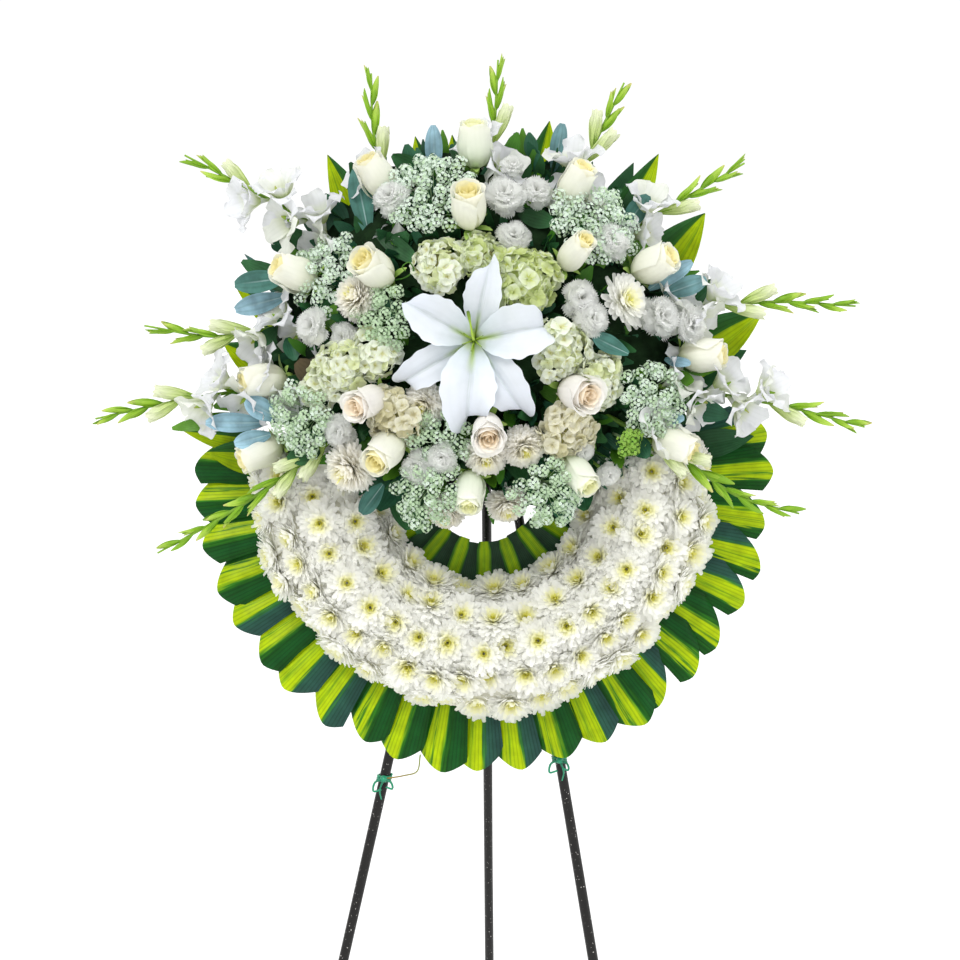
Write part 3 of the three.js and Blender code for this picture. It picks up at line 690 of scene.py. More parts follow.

# the grey-lavender tones of these white petals, darkest towards the throat and again at the tips, are painted
# shade
lily_white = plant(
    "lily_petal",
    [(0.0, (0.2, 0.34, 0.02)), (0.06, (0.62, 0.73, 0.48)), (0.18, (0.76, 0.83, 0.88)),
     (0.55, (0.86, 0.905, 0.96)), (1.0, (0.82, 0.86, 0.96))],
    stripes=[(0.44, WHITE), (0.475, (0.88, 0.9, 0.86)), (0.5, WHITE), (0.525, (0.88, 0.9, 0.86)),
             (0.56, WHITE)],
    midrib=((0.52, 0.74, 0.02), 0.42, 0.28), veins=0.02, vein_count=16, ribs=0.06, patch=0.05, grain=1400.0,
    bump=0.35, thin=0.3)
pistil_green = plant(
    "pistil", [(0.0, (0.55, 0.7, 0.1)), (0.7, (0.36, 0.55, 0.04)), (1.0, (0.06, 0.12, 0.02))], roughness=0.4)
# the grey-blue tone of these white petals is painted shade
glad_white = plant(
    "gladiolus_petal", [(0.0, (0.56, 0.68, 0.24)), (0.3, (0.76, 0.8, 0.64)), (0.55, (0.805, 0.815, 0.84))],
    other=((0.82, 0.85, 0.68), 0.75, 0.5), veins=0.05, ribs=0.15, roughness=0.6, patch=0.04, thin=0.3)
glad_bud = plant(
    "gladiolus_bud",
    [(0.0, (0.12, 0.3, 0.01)), (0.45, (0.28, 0.5, 0.02)), (0.85, (0.46, 0.66, 0.09)),
     (1.0, (0.6, 0.55, 0.2))],
    other=((0.2, 0.42, 0.015), 0.6, 0.8), veins=0.3, vein_count=16, thin=0.15)
glad_pale = plant(
    "gladiolus_pale_bud", [(0.0, (0.4, 0.58, 0.1)), (0.4, (0.64, 0.76, 0.3)), (0.9, (0.82, 0.86, 0.62))],
    veins=0.15, roughness=0.6, patch=0.05, thin=0.3)
carnation_white = plant(
    "carnation_petal", [(0.0, (0.86, 0.92, 0.78)), (0.3, (0.98, 0.985, 0.965)), (1.0, (0.985, 0.99, 0.98))],
    veins=0.02, vein_count=12, ribs=0.1, roughness=0.75, patch=0.01, thin=0.8)

HYDRANGEA = dict(veins=0.05, vein_count=8, roughness=0.65, thin=0.42)
hydrangea_cream = plant(
    "hydrangea_sepal", [(0.0, (0.7, 0.68, 0.26)), (0.3, (0.9, 0.94, 0.78)), (1.0, (0.94, 0.97, 0.9))],
    other=((0.78, 0.84, 0.46), 0.78, 0.75), patch=0.06, **HYDRANGEA)
hydrangea_lime = plant(
    "lime_hydrangea_sepal", [(0.0, (0.58, 0.64, 0.1)), (0.3, (0.78, 0.85, 0.52)), (1.0, (0.86, 0.91, 0.76))],
    other=((0.67, 0.76, 0.3), 0.7, 0.8), patch=0.08, **HYDRANGEA)
hydrangea_beige = plant(
    "beige_hydrangea_sepal",
    [(0.0, (0.6, 0.54, 0.28)), (0.3, (0.87, 0.85, 0.66)), (1.0, (0.93, 0.91, 0.78))],
    other=((0.74, 0.7, 0.44), 0.7, 0.8), patch=0.08, **HYDRANGEA)
hydrangea_core = plant(
    "hydrangea_core", [(0.0, (0.2, 0.22, 0.05)), (1.0, (0.5, 0.48, 0.2))], roughness=0.8, patch=0.4)

lace_white = plant(
    "lace_floret", [(0.0, (0.56, 0.76, 0.5)), (0.5, (0.8, 0.92, 0.8)), (1.0, (0.88, 0.96, 0.9))],
    other=((0.5, 0.68, 0.4), 0.5, 0.75), roughness=0.8, patch=0.08, thin=0.3)
lace_stalk = plant("lace_stalk", [(0.0, (0.16, 0.3, 0.1)), (1.0, (0.5, 0.66, 0.4))], roughness=0.6, thin=0.3)
filler_green = plant(
    "filler_floret", [(0.0, (0.14, 0.32, 0.03)), (1.0, (0.36, 0.58, 0.1))],
    other=((0.18, 0.4, 0.04), 0.5, 0.7), roughness=0.6, patch=0.1)
stem_green = plant("stem", [(0.0, (0.1, 0.2, 0.02)), (1.0, (0.24, 0.44, 0.03))], veins=0.2)
sepal_green = plant("sepal", [(0.0, (0.16, 0.3, 0.04)), (1.0, (0.36, 0.52, 0.12))], veins=0.2)

# leaves of the collars: tones of their stripes, which multiply a painted shade that darkens the foot, where
# it lies under the flowers
LIME = (0.4, 0.56, 0.0)
LIGHT_LIME = (0.44, 0.58, 0.0)
DARK_LIME = (0.22, 0.4, 0.004)
MOSS = (0.34, 0.5, 0.0)
GREEN = (0.006, 0.07, 0.006)
EDGE_GREEN = (0.02, 0.14, 0.01)
RIM_GREEN = (0.04, 0.16, 0.01)
PAINTED_SHADE_FOOT = [(0.0, (0.8, 0.86, 0.8)), (1.0, WHITE)]
COLLAR_LEAF = dict(
    veins=0.45, vein_count=44, roughness=0.42, patch=0.25, grain=400.0, thin=0.12, specular=0.14)
striped_leaf = plant(
    "striped_leaf", PAINTED_SHADE_FOOT,
    stripes=[(0.14, GREEN), (0.2, EDGE_GREEN), (0.22, LIME), (0.33, LIME), (0.36, DARK_LIME), (0.4, LIME),
             (0.5, (0.46, 0.6, 0.0)), (0.58, LIME), (0.61, (0.04, 0.2, 0.02)), (0.66, (0.024, 0.1, 0.066)),
             (0.9, (0.022, 0.075, 0.06))], **COLLAR_LEAF)
green_striped_leaf = plant(
    "green_striped_leaf", PAINTED_SHADE_FOOT,
    stripes=[(0.14, GREEN), (0.2, EDGE_GREEN), (0.23, LIME), (0.3, LIME), (0.33, (0.03, 0.2, 0.01)),
             (0.36, LIME), (0.5, LIGHT_LIME), (0.53, DARK_LIME), (0.57, (0.03, 0.18, 0.01)), (0.64, GREEN),
             (0.8, (0.006, 0.09, 0.014)), (0.95, GREEN)], **COLLAR_LEAF)
# its stops darken the foot: painted shade where it lies under the chrysanthemums
inner_leaf = plant(
    "inner_striped_leaf", [(0.0, (0.7, 0.8, 0.7)), (1.0, WHITE)],
    stripes=[(0.1, RIM_GREEN), (0.2, DARK_LIME), (0.3, MOSS), (0.5, DARK_LIME), (0.7, MOSS),
             (0.85, DARK_LIME), (0.95, RIM_GREEN)],
    other=((0.014, 0.05, 0.03), 0.5, 0.97), veins=0.5, vein_count=30, roughness=0.45, patch=0.3, grain=400.0,
    thin=0.1, specular=0.14)
# its stops darken the foot: painted shade where it lies behind the arrangement
upper_leaf = plant(
    "upper_leaf", [(0.0, (0.55, 0.65, 0.5)), (1.0, WHITE)], mirrored=True,
    stripes=[(0.1, LIME), (0.26, LIGHT_LIME), (0.3, DARK_LIME), (0.34, LIME), (0.57, (0.38, 0.52, 0.0)),
             (0.61, (0.03, 0.15, 0.01)), (0.75, (0.02, 0.1, 0.015)), (0.9, (0.03, 0.14, 0.03))],
    veins=0.4, vein_count=30, roughness=0.42, patch=0.25, grain=400.0, thin=0.15, specular=0.14)
deep_leaf = plant(
    "deep_green_leaf", [(0.0, (0.01, 0.05, 0.015)), (1.0, (0.025, 0.11, 0.04))],
    other=((0.02, 0.09, 0.07), 0.5, 0.6), veins=0.35, vein_count=30, roughness=0.4, patch=0.25, thin=0.1,
    specular=0.16)

dark_leaf = plant(
    "dark_leaf", [(0.0, (0.01, 0.05, 0.014)), (1.0, (0.035, 0.14, 0.045))],
    other=((0.03, 0.13, 0.075), 0.6, 0.75), veins=0.3, vein_count=20, roughness=0.42, patch=0.4,
    specular=0.18)
bright_leaf = plant(
    "bright_leaf", [(0.0, (0.04, 0.14, 0.01)), (1.0, (0.12, 0.32, 0.02))],
    other=((0.05, 0.2, 0.02), 0.5, 0.7), veins=0.25, vein_count=20, roughness=0.42, patch=0.3, thin=0.15)
blue_leaf = plant(
    "blue_grey_leaf", [(0.0, (0.12, 0.25, 0.28)), (0.6, (0.26, 0.44, 0.53)), (1.0, (0.35, 0.56, 0.68))],
    other=((0.04, 0.16, 0.115), 0.55, 0.9), veins=0.25, vein_count=10, roughness=0.65, patch=0.4,
    midrib=((0.36, 0.5, 0.5), 0.9, 0.09))
brown_leaf = plant(
    "brown_leaf", [(0.0, (0.03, 0.024, 0.01)), (1.0, (0.07, 0.05, 0.02))], veins=0.3, roughness=0.6)

PACKED = dict(bump=0.8, specular=0.1)
# the packed core's near-black colour is painted shade: the deep shade between the leaves and flowers
greenery = plant(
    "greenery_painted_shade", [(0.0, (0.004, 0.012, 0.004)), (1.0, (0.01, 0.03, 0.008))],
    other=((0.02, 0.05, 0.02), 0.5, 0.5), roughness=0.9, grain=220.0, patch=0.5, **PACKED)
bed_base = plant(
    "packed_chrysanthemums", [(0.0, (0.84, 0.83, 0.7)), (1.0, (0.92, 0.91, 0.8))],
    roughness=0.8, grain=260.0, patch=0.3, **PACKED)

pole_black = plant(
    "black_pole", [(0.0, (0.005, 0.0045, 0.004)), (1.0, (0.009, 0.008, 0.007))],
    roughness=0.32, patch=0.4, bump=0.4, fleck=((0.5, 0.48, 0.45), 0.72, 420.0))
wire_black = plant("binding_wire", [(0.0, (0.02, 0.02, 0.02)), (1.0, (0.05, 0.05, 0.045))], roughness=0.45)
tie_green = plant(
    "tie_plastic", [(0.0, (0.0, 0.2, 0.1)), (1.0, (0.01, 0.32, 0.16))],
    roughness=0.3, coat=0.3, patch=0.3, bump=0.1)
raffia = plant("raffia", [(0.0, (0.35, 0.2, 0.05)), (1.0, (0.25, 0.35, 0.08))], veins=0.3, roughness=0.7)
former_green = plant(
    "former", [(0.0, (0.03, 0.07, 0.03)), (1.0, (0.05, 0.1, 0.04))],
    roughness=0.85, grain=900.0, bump=0.9, patch=0.4, specular=0.1, fleck=((0.1, 0.16, 0.06), 0.62, 300.0))
foam_green = plant(
    "floral_foam", [(0.0, (0.02, 0.1, 0.05)), (1.0, (0.03, 0.14, 0.07))],
    roughness=0.95, grain=1500.0, bump=0.9, patch=0.3, specular=0.1)


# ---- flowers ----
# angles between petals, in radians
THIRD = 2.094
QUARTER = 1.571
FIFTH = 1.257
SIXTH = 1.047
NINTH = 0.7
ANY_TURN = 6.3  # a whole turn or so, of which a random share is taken

# rings of petals from the outside in: count, length, lean, curl, width, height
MUM_RADIUS = 29
MUM_RINGS = [
    (27, 29.5, 90, -18, 3.4, -6.5), (27, 28.4, 79, -14, 3.4, -5.5), (26, 26.4, 68, -12, 3.3, -5),
    (25, 23.6, 57, -10, 3.0, -4.5), (22, 20.2, 46, -8, 2.8, -4), (18, 16.2, 36, -6, 2.5, -3.5),
    (14, 12, 27, -4, 2.1, -3)]
HEART_RINGS = [(12, 8.5, 36, -16, 1.6, -0.5), (9, 6, 18, -10, 1.4, 0)]
CARNATION_RADIUS = 24
CARNATION_RINGS = [
    (13, 25, 80, 16, 9, -8), (13, 24, 60, 32, 9, -8), (12, 23, 44, 44, 8.5, -8), (11, 22, 30, 52, 8, -7.5),
    (9, 21, 18, 58, 7.5, -7), (7, 20, 9, 60, 7, -6.5), (4, 19, 3, 54, 6, -6)]
# side of a rose: share of its height, radius
ROSE_SIDE = [(0, 3.0), (0.08, 11.5), (0.2, 17.5), (0.38, 21.5), (0.6, 21.5), (0.8, 18.5), (1.0, 15.0)]
ROSE_FOOT = 30
ROSE_PETALS = 17
# a gladiolus spike: where its flowers begin and end, and the space that each kind takes
SPIKE = dict(points=60, first=0.27, bare_tip=20, open=27, pale=21, green=19)


def scaled(rings, k, broad=1.0):
    """Rings of petals k times as large; broad makes the petals broader, and fewer."""
    return [(round(count / broad), length * k, lean, curl, width * k * broad, height * k)
            for count, length, lean, curl, width, height in rings]


def whorls(mass, rings, matrix, rng, slot=0, **options):
    """Rings of petals, each a little uneven."""
    for k, (count, length, lean, curl, width, height) in enumerate(rings):
        azimuth = evenly(count) + rng.random() * ANY_TURN + rng.normal(0, 0.08, count)
        petals(mass, azimuth, lean + rng.normal(0, 5, count), curl + rng.normal(0, 9, count),
               length * (1 + rng.normal(0, 0.06, count)), width, rng, base=1.5, height=height, slot=slot,
               mark=k / len(rings), matrix=matrix, **options)


def stem_along(mass, matrix, start, end, radius, slot):
    """Straight stem down the z axis."""
    path = np.zeros((4, 3))
    path[:, 2] = np.linspace(start, end, 4)
    tube(mass, moved(path, matrix), radius, 7, slot)


def green_back(mass, matrix, k, rng, slot):
    """The small green leaves under a head."""
    petals(mass, np.arange(9) * NINTH, 70, 30, 13 * k, 4 * k, rng, height=-12 * k, slot=slot, rows=3,
           matrix=matrix)


def chrysanthemum(mass, matrix, radius, rng, broad=1.0):
    """Open head: rings of white petals, flat at the rim and upright inside, round a small yellow heart."""
    k = radius / MUM_RADIUS
    whorls(mass, scaled(MUM_RINGS, k, broad), matrix, rng, 0, cup=0.22, tip=0.03)
    whorls(mass, scaled(HEART_RINGS, k), matrix, rng, 1, cup=0.3, rows=3)


def pompom(mass, matrix, radius, rng):
    """Ball of narrow petals that all bend towards its top, with the heart just showing."""
    directions = fibonacci(430, 1.95)
    lean = np.degrees(np.arccos(directions[:, 2]))
    azimuth = np.arctan2(directions[:, 1], directions[:, 0])
    outer = lean > 10
    lean = lean[outer]
    azimuth = azimuth[outer]
    count = len(lean)
    petals(mass, azimuth + rng.normal(0, 0.07, count), lean + 10 + rng.normal(0, 4, count),
           -20 + rng.normal(0, 8, count),
           radius * (1.04 + rng.normal(0, 0.06, count)) * (0.8 + 0.2 * lean / 110), 2.4 * radius / 26, rng,
           rows=5, base=0.5, height=-0.18 * radius, tip=0.04, matrix=matrix, mark=0.95 - 0.7 * lean / 110)
    whorls(mass, [(9, 0.64 * radius, 12, -8, 1.3, 0)], matrix, rng, 1, cup=0.3, rows=3)


def rose_petal(mass, matrix, inner, turn, openness, rng):
    """A petal wrapped round the head; inner is 0 for the outermost one and 1 at the heart."""
    outer = 1 - inner
    t = np.linspace(0, 1, 10)[None, :, None]
    s = np.linspace(-1, 1, 9)[None, None, :]
    span = 1.15 + 0.75 * inner
    size = outer**0.72 * 0.93 + 0.07
    top = 21 + 8.5 * math.sin(math.pi * min(1.0, 0.25 + 0.62 * inner)) + 1.5 * inner + openness * 2 * outer
    crest = 1 - 0.16 * s**2 - 0.1 * s**4
    radius = np.interp(t, *np.transpose(ROSE_SIDE)) * size * np.ones_like(s)
    flare = (2.2 + 7.5 * openness) * outer + 0.8
    radius = radius + flare * np.clip((t - 0.72) / 0.28, 0, 1) ** 1.6 * (1 - 0.35 * s**2)
    radius = radius + openness * 5 * outer * t**2 + (0.9 * s + 0.5) * (1 - 0.6 * inner)
    radius = radius + 0.5 * np.sin(7 * s + 6 * rng.random()) * t**3 * outer
    rim = 2.6 * np.clip((t - 0.86) / 0.14, 0, 1) ** 2 * outer
    z = -ROSE_FOOT + (top + ROSE_FOOT) * t * (1 - (1 - crest) * t) - rim
    angle = turn + s * span * (0.75 + 0.25 * t)
    points = np.stack([radius * np.cos(angle), radius * np.sin(angle), z * np.ones_like(angle)], -1)
    mass.sheets(points, marks_of(t, s, inner), 0, matrix=matrix)


def rose(mass, matrix, rng, openness):
    """Petals in a spiral over five green sepals and a stem."""
    for k in range(ROSE_PETALS):
        turn = k * 2.4 + rng.normal(0, 0.12)
        rose_petal(mass, matrix, k / (ROSE_PETALS - 1), turn, openness, rng)
    petals(mass, np.arange(5) * FIFTH + rng.random(), 62, 34, 26, 4.6, rng, base=4, height=-ROSE_FOOT,
           shape=lance, rows=6, slot=1, matrix=matrix)
    spun(mass, [(0, -38), (4.5, -37), (6.2, -33), (5.5, -28)], 10, 1, matrix)
    stem_along(mass, matrix, -36, -88, 2.3, 1)


def carnation(mass, matrix, radius, rng):
    """Frilled petals crowded out of a narrow green cup."""
    k = radius / CARNATION_RADIUS
    for count, length, lean, curl, width, height in CARNATION_RINGS:
        azimuth = evenly(count) + rng.random() * ANY_TURN
        petals(mass, azimuth + rng.normal(0, 0.3, count), lean + rng.normal(0, 11, count),
               curl + rng.normal(0, 14, count), length * k * (1 + rng.normal(0, 0.07, count)), width * k,
               rng, rows=7, columns=13, base=1, height=height * k, cup=0.16, ruffle=3.2 * k, waves=4.6,
               jag=0.09, tip=0.1, shape=fan, matrix=matrix)
    spun(mass, [(0, -34 * k), (3.4, -33 * k), (5.6, -24 * k), (6.4, -12 * k), (7.5, -8 * k)], 10, 1, matrix)
    stem_along(mass, matrix, -32 * k, -76, 1.8, 1)


def hydrangea(mass, matrix, radius, rng):
    """Loose, low, lumpy head of four-petalled florets round a dark core."""
    for direction in fibonacci(round(0.062 * radius**2), 1.75):
        around = math.atan2(direction[1], direction[0])
        lump = 0.84 + 0.22 * rng.random() + 0.13 * math.sin(3 * around + radius) * math.hypot(*direction[:2])
        z = unit(direction + rng.normal(0, 0.38, 3))
        floret = matrix @ floret_frame(z, direction * radius * lump * [1, 1, 0.66], [0.2, 0.9, 0.1])
        size = 9.2 * (1 + rng.normal(0, 0.16))
        petals(mass, np.arange(4) * QUARTER + rng.random() * 1.5, 66 + rng.normal(0, 10, 4), 24, size,
               size * 0.66, rng, rows=5, columns=5, base=0.4, cup=0.3, shape=oval, ruffle=1.0, tip=0.1,
               matrix=floret, mark=rng.random())
    core = np.array([(0, -0.56), (0.56, -0.42), (0.68, 0), (0.5, 0.34), (0, 0.44)])
    spun(mass, core * radius, 18, 1, matrix)
    stem_along(mass, matrix, -radius * 0.5, -radius - 30, 2.3, 2)


def umbel(mass, matrix, radius, rng, crowding=0.019, green_and_shade=0.0):
    """Flat head of tiny florets in clusters, each cluster on its own stalk. crowding times the square of the
    radius is the number of clusters; the green share turns florets a darker green, partly their own colour
    and partly painted shade on the heads that lie low in the shadow between the flowers."""
    clusters = fibonacci(round(crowding * radius**2), 1.0) * radius * 1.2
    clusters[:, 2] = clusters[:, 2] * 0.55 - radius * 0.2
    for cluster in clusters:
        head = cluster + rng.normal(0, 3.0, 3)
        bend = head * [0.45, 0.45, 0.3] + [0, 0, -radius * 0.25]
        tube(mass, moved(curve_through([(0, 0, -radius * 0.7), bend, head], 5), matrix), 0.5, 4, 1)
        for spot in fibonacci(23, 1.9) * (6.2 + 2.0 * rng.random()):
            z = unit(spot + [0, 0, 1.0] + rng.normal(0, 1.4, 3))
            floret = matrix @ floret_frame(z, head + spot * (0.8 + 0.35 * rng.random()), [0.3, 0.8, 0.2])
            petals(mass, np.arange(5) * FIFTH + rng.random(), 70, 20, 2.15, 0.92, rng, rows=2, columns=2,
                   shape=wedge, matrix=floret, mark=green_and_shade + 0.7 * rng.random())
    stem_along(mass, matrix, -radius * 0.66, -radius - 26, 1.9, 1)


def lily():
    """One large open lily: six petals, a bent pistil and six short filaments."""
    mass = Mass(lily_white, pistil_green, stem_green)
    rng = np.random.default_rng(3)
    matrix = facing(at(LILY["u"], LILY["v"], LILY["w"]), FRONT - UP * 0.08 - ACROSS * 0.05)
    for ring, foot, lean, cup in ((OUTER_PETALS, -34, 30, 0.2), (INNER_PETALS, -27, 27, 0.34)):
        for angle, length, half, hook in ring:
            petals(mass, [math.radians(angle)], lean, 80, length, half, rng, rows=46, columns=33, base=3,
                   height=foot, cup=cup, shape=lily_shape, ruffle=5, waves=3.6, groove=0.22, ridge=0.05,
                   twist=0.9, frill=0.055, frills=44, hook=hook, matrix=matrix)
    pistil = curve_through([(0, 0, -20), (0, 3, 6), (-1, 14, 24), (-4, 32, 36)], 14)
    tube(mass, moved(pistil, matrix), np.concatenate([np.linspace(1.7, 1.1, 11), [1.6, 2.2, 1.9]]), 9, 1)
    for azimuth in evenly(6) + 0.4:
        across = np.array([math.cos(azimuth), math.sin(azimuth), 0])
        bend = [across * 2 + [0, 0, -24], across * 6 + [0, 0, -6], across * 13 + [0, 0, 10]]
        tube(mass, moved(curve_through(bend, 8), matrix), np.linspace(0.9, 0.5, 8), 6, 1)
    stem_along(mass, matrix, -28, -100, 3.3, 2)
    mass.build("lily_flower", ["lily"], "lily")


def bracts(mass, matrix, length, half, rng):
    """The two green leaves that clasp a flower's foot, one on each side."""
    for turn, scale in ((0.0, 1.0), (math.pi, 0.84)):
        petals(mass, [turn + rng.random() * 0.4], 6, -6, length * scale, half, rng, rows=8, columns=5,
               base=1.4, cup=0.9, shape=lance, slot=1, matrix=matrix)


def open_floret(mass, point, along, outward, fresh, rng):
    """An open gladiolus flower: a tube that widens into two rings of three ruffled petals."""
    forward = 0.5 + 0.3 * rng.random()
    bracts(mass, facing(point, along + outward * 0.5 + FRONT * 0.7 * forward, rng.random() * 6), 34, 5, rng)
    matrix = facing(point, along * 0.75 + outward * 0.6 + FRONT * forward, rng.random() * 3)
    spun(mass, [(1.6, 0), (3, 8), (5.4, 18), (9 * fresh, 27)], 10, 0, matrix)
    for row, (lean, width) in enumerate(((26, 18), (16, 17))):
        petals(mass, np.arange(3) * THIRD + row * SIXTH + rng.normal(0, 0.1, 3), lean + rng.normal(0, 5, 3),
               70 * fresh + rng.normal(0, 8, 3), 47 * (0.75 + 0.25 * fresh), width * (0.7 + 0.3 * fresh),
               rng, rows=12, columns=11, base=4, height=14, cup=0.3, shape=floret_shape, ruffle=6.5 * fresh,
               waves=4.2, frill=0.1, tip=0.14, matrix=matrix)


def pale_bud(mass, point, along, outward, size, rng):
    """A flower about to open: pale petals rolled up, showing out of their bracts."""
    matrix = facing(point, along * 1.5 + outward * 0.5 + FRONT * 0.25, rng.random() * 3)
    bracts(mass, matrix, 34 * size, 5.2, rng)
    petals(mass, np.arange(6) * SIXTH, 11, -10, 56 * size, 8.6, rng, rows=11, columns=7, base=2, cup=0.45,
           shape=floret_shape, ruffle=1.8, waves=3.4, tip=0.1, slot=3, matrix=matrix)


def green_bud(mass, point, along, outward, size, rng):
    """A closed green bud between its bracts."""
    matrix = facing(point, along + outward * 0.3 * size + FRONT * 0.1 * rng.random(), rng.random() * 6)
    bracts(mass, matrix, 54 * size, 6.2 * size, rng)
    spun(mass, np.array([(0, 0), (3.4, 6), (4.8, 16), (4.4, 28), (2.6, 40), (0, 50)]) * size, 8, 1, matrix,
         seed=rng.random(), wave=lambda a, t: 1 - 0.2 * np.abs(np.sin(a)))


def gladiolus(number, path, open_share):
    """A spike with flowers on alternate sides: open ones at its foot, then pale buds, then green ones."""
    rng = np.random.default_rng(40 + number)
    mass = Mass(glad_white, glad_bud, stem_green, glad_pale)
    line = curve_through([at(*point) for point in path], SPIKE["points"])
    tube(mass, line, np.linspace(3.4, 1.2, len(line)), 8, 2)
    reach = np.concatenate([[0], np.cumsum(np.linalg.norm(np.diff(line, axis=0), axis=1))]) / MM
    total = reach[-1]
    place = SPIKE["first"] * total
    side = 1
    while place < total - SPIKE["bare_tip"]:
        t = place / total
        late = max(0.0, (t - open_share) / (1 - open_share))
        point = np.array([np.interp(place, reach, line[:, k]) for k in range(3)])
        k = int(np.searchsorted(reach, place))
        along = unit(line[min(k + 2, len(line) - 1)] - line[max(k - 2, 0)])
        outward = unit(np.cross(FRONT, along)) * side
        if t < open_share:
            open_floret(mass, point, along, outward, 1 - 0.25 * (t / open_share) ** 2, rng)
            place += SPIKE["open"]
        elif late < 0.26:
            pale_bud(mass, point, along, outward, 1 - 0.8 * late, rng)
            place += SPIKE["pale"]
        else:
            green_bud(mass, point, along, outward, 1 - 0.42 * late, rng)
            place += SPIKE["green"]
        side = -side
    mass.build(f"gladiolus_spike_{number:02d}", [f"gladiolus_{number:02d}"], "gladiolus")


def stands_for(name):
    """The CAD node of that name, where the part has one."""
    return [name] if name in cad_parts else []


def roses():
    """Cream roses, some with peach hearts and some greenish."""
    for i, (u, v, raised) in enumerate(ROSES, 1):
        rng = np.random.default_rng(100 + i)
        petal = rose_peach if i in PEACH_HEARTS else rose_green if i in GREEN_ROSES else rose_cream
        mass = Mass(petal, sepal_green)
        place = on_dome(u, v, raised, rng.random() * 6, 0.16)
        place[:3, :2] *= SLIM_ROSES.get(i, 1.0)
        rose(mass, place, rng, OPEN_ROSES.get(i, 0.12))
        mass.build(f"rose_{i:02d}_bloom", stands_for(f"rose_{i:02d}"), "rose")


def carnations():
    """White carnations between the roses."""
    for i, (name, (u, v, raised, radius)) in enumerate(CARNATIONS.items()):
        mass = Mass(carnation_white, sepal_green)
        carnation(mass, on_dome(u, v, raised, 0.0, 0.8), radius, np.random.default_rng(200 + i))
        mass.build(f"{name}_bloom", stands_for(name), "carnation")


def large_chrysanthemums():
    """One broad white head at the upper right; the others are cream balls."""
    for i, (name, (u, v, raised, radius)) in enumerate(LARGE_MUMS.items()):
        rng = np.random.default_rng(300 + i)
        place = on_dome(u, v, raised, 0.0, 0.25)
        if name == "mum_large_upper":
            mass = Mass(mum_white, mum_heart, sepal_green)
            chrysanthemum(mass, place, radius, rng, broad=1.3)
        else:
            mass = Mass(mum_cream, mum_heart, sepal_green)
            pompom(mass, place, radius, rng)
        green_back(mass, place, radius / MUM_RADIUS, rng, 2)
        mass.build(f"{name}_bloom", stands_for(name), "chrysanthemum")


def hydrangeas():
    """Small hydrangea heads: cream, lime and beige."""
    for i, (u, v, raised, radius) in enumerate(HYDRANGEAS, 1):
        sepal = hydrangea_lime if i in LIME_HYDRANGEAS else hydrangea_cream
        sepal = hydrangea_beige if i in BEIGE_HYDRANGEAS else sepal
        mass = Mass(sepal, hydrangea_core, sepal_green)
        hydrangea(mass, on_dome(u, v, raised, 0.0, 0.4), radius, np.random.default_rng(400 + i))
        mass.build(f"hydrangea_{i:02d}_bloom", stands_for(f"hydrangea_{i:02d}"), "hydrangea")


def umbels():
    """Lace flowers between the other heads, and one small green head on the right."""
    for i, (u, v, raised, radius) in enumerate(UMBELS, 1):
        mass = Mass(lace_white, lace_stalk)
        umbel(mass, on_dome(u, v, raised, 0.0, 1.1), radius, np.random.default_rng(500 + i),
              green_and_shade=GREEN_AND_SHADED_UMBELS.get(i, 0.0))
        mass.build(f"umbel_{i:02d}_bloom", stands_for(f"umbel_{i:02d}"), "lace")
    u, v, raised, radius = FILLER
    mass = Mass(filler_green, lace_stalk)
    umbel(mass, on_dome(u, v, raised, 0.0, 0.8), radius, np.random.default_rng(600), crowding=0.1)
    mass.build("green_filler_head", (), "greenery")


def bed_head(mass, radius, angle, w, tilt, rng):
    """One head of the bed; the outer rows are drawn in at the bottom and on the right."""
    outermost = BED_ROWS[0][0]
    innermost = BED_ROWS[-1][0]
    a = math.radians(angle)
    pull = BED_PULL["bottom"] * max(0.0, -math.sin(a)) ** 1.5 + BED_PULL["right"] * max(0.0, math.cos(a)) ** 2
    radius = radius - (radius - innermost) / (outermost - innermost) * pull
    lean = math.radians(tilt + rng.normal(0, 7))
    direction = FRONT * math.cos(lean) + outwards(angle) * math.sin(lean) + rng.normal(0, 0.1, 3)
    centre = polar(radius + rng.normal(0, 3), angle + rng.normal(0, 1.0), w + rng.normal(0, 3))
    chrysanthemum(mass, facing(centre, direction, rng.random() * 6), 29.5 + rng.normal(0, 1.8), rng)


def chrysanthemum_bed():
    """Rows of heads round the lower part of the ring, in three pieces, each over a packed base."""
    span = BED["end"] - BED["start"]
    share = span / len(SIDES)
    rng = np.random.default_rng(11)
    masses = [Mass(mum_white, mum_heart, bed_base) for _ in SIDES]
    for row, (radius, w, tilt) in enumerate(BED_ROWS):
        count = round(math.radians(span) * radius / BED["pitch"])
        for i in range(count):
            angle = BED["start"] + span * (i + (0.75 if row % 2 else 0.25)) / count
            k = min(len(SIDES) - 1, int((angle - BED["start"]) / share))
            bed_head(masses[k], radius, angle, w, tilt, rng)
    for k, (side, mass) in enumerate(zip(SIDES, masses)):
        start = BED["start"] + share * k
        angle = np.linspace(start, start + share, 40)[None, :, None]
        across = np.linspace(0, np.pi, 14)[None, None, :]
        points = polar(RING_MIDDLE + 74 * np.cos(across), angle, 12 + 46 * np.sin(across))
        mass.sheets(points, marks_of(angle / 360, np.cos(across), 0.4), 2)
        mass.build(f"chrysanthemums_{side}", [f"mum_bed_{side}"], "chrysanthemum")


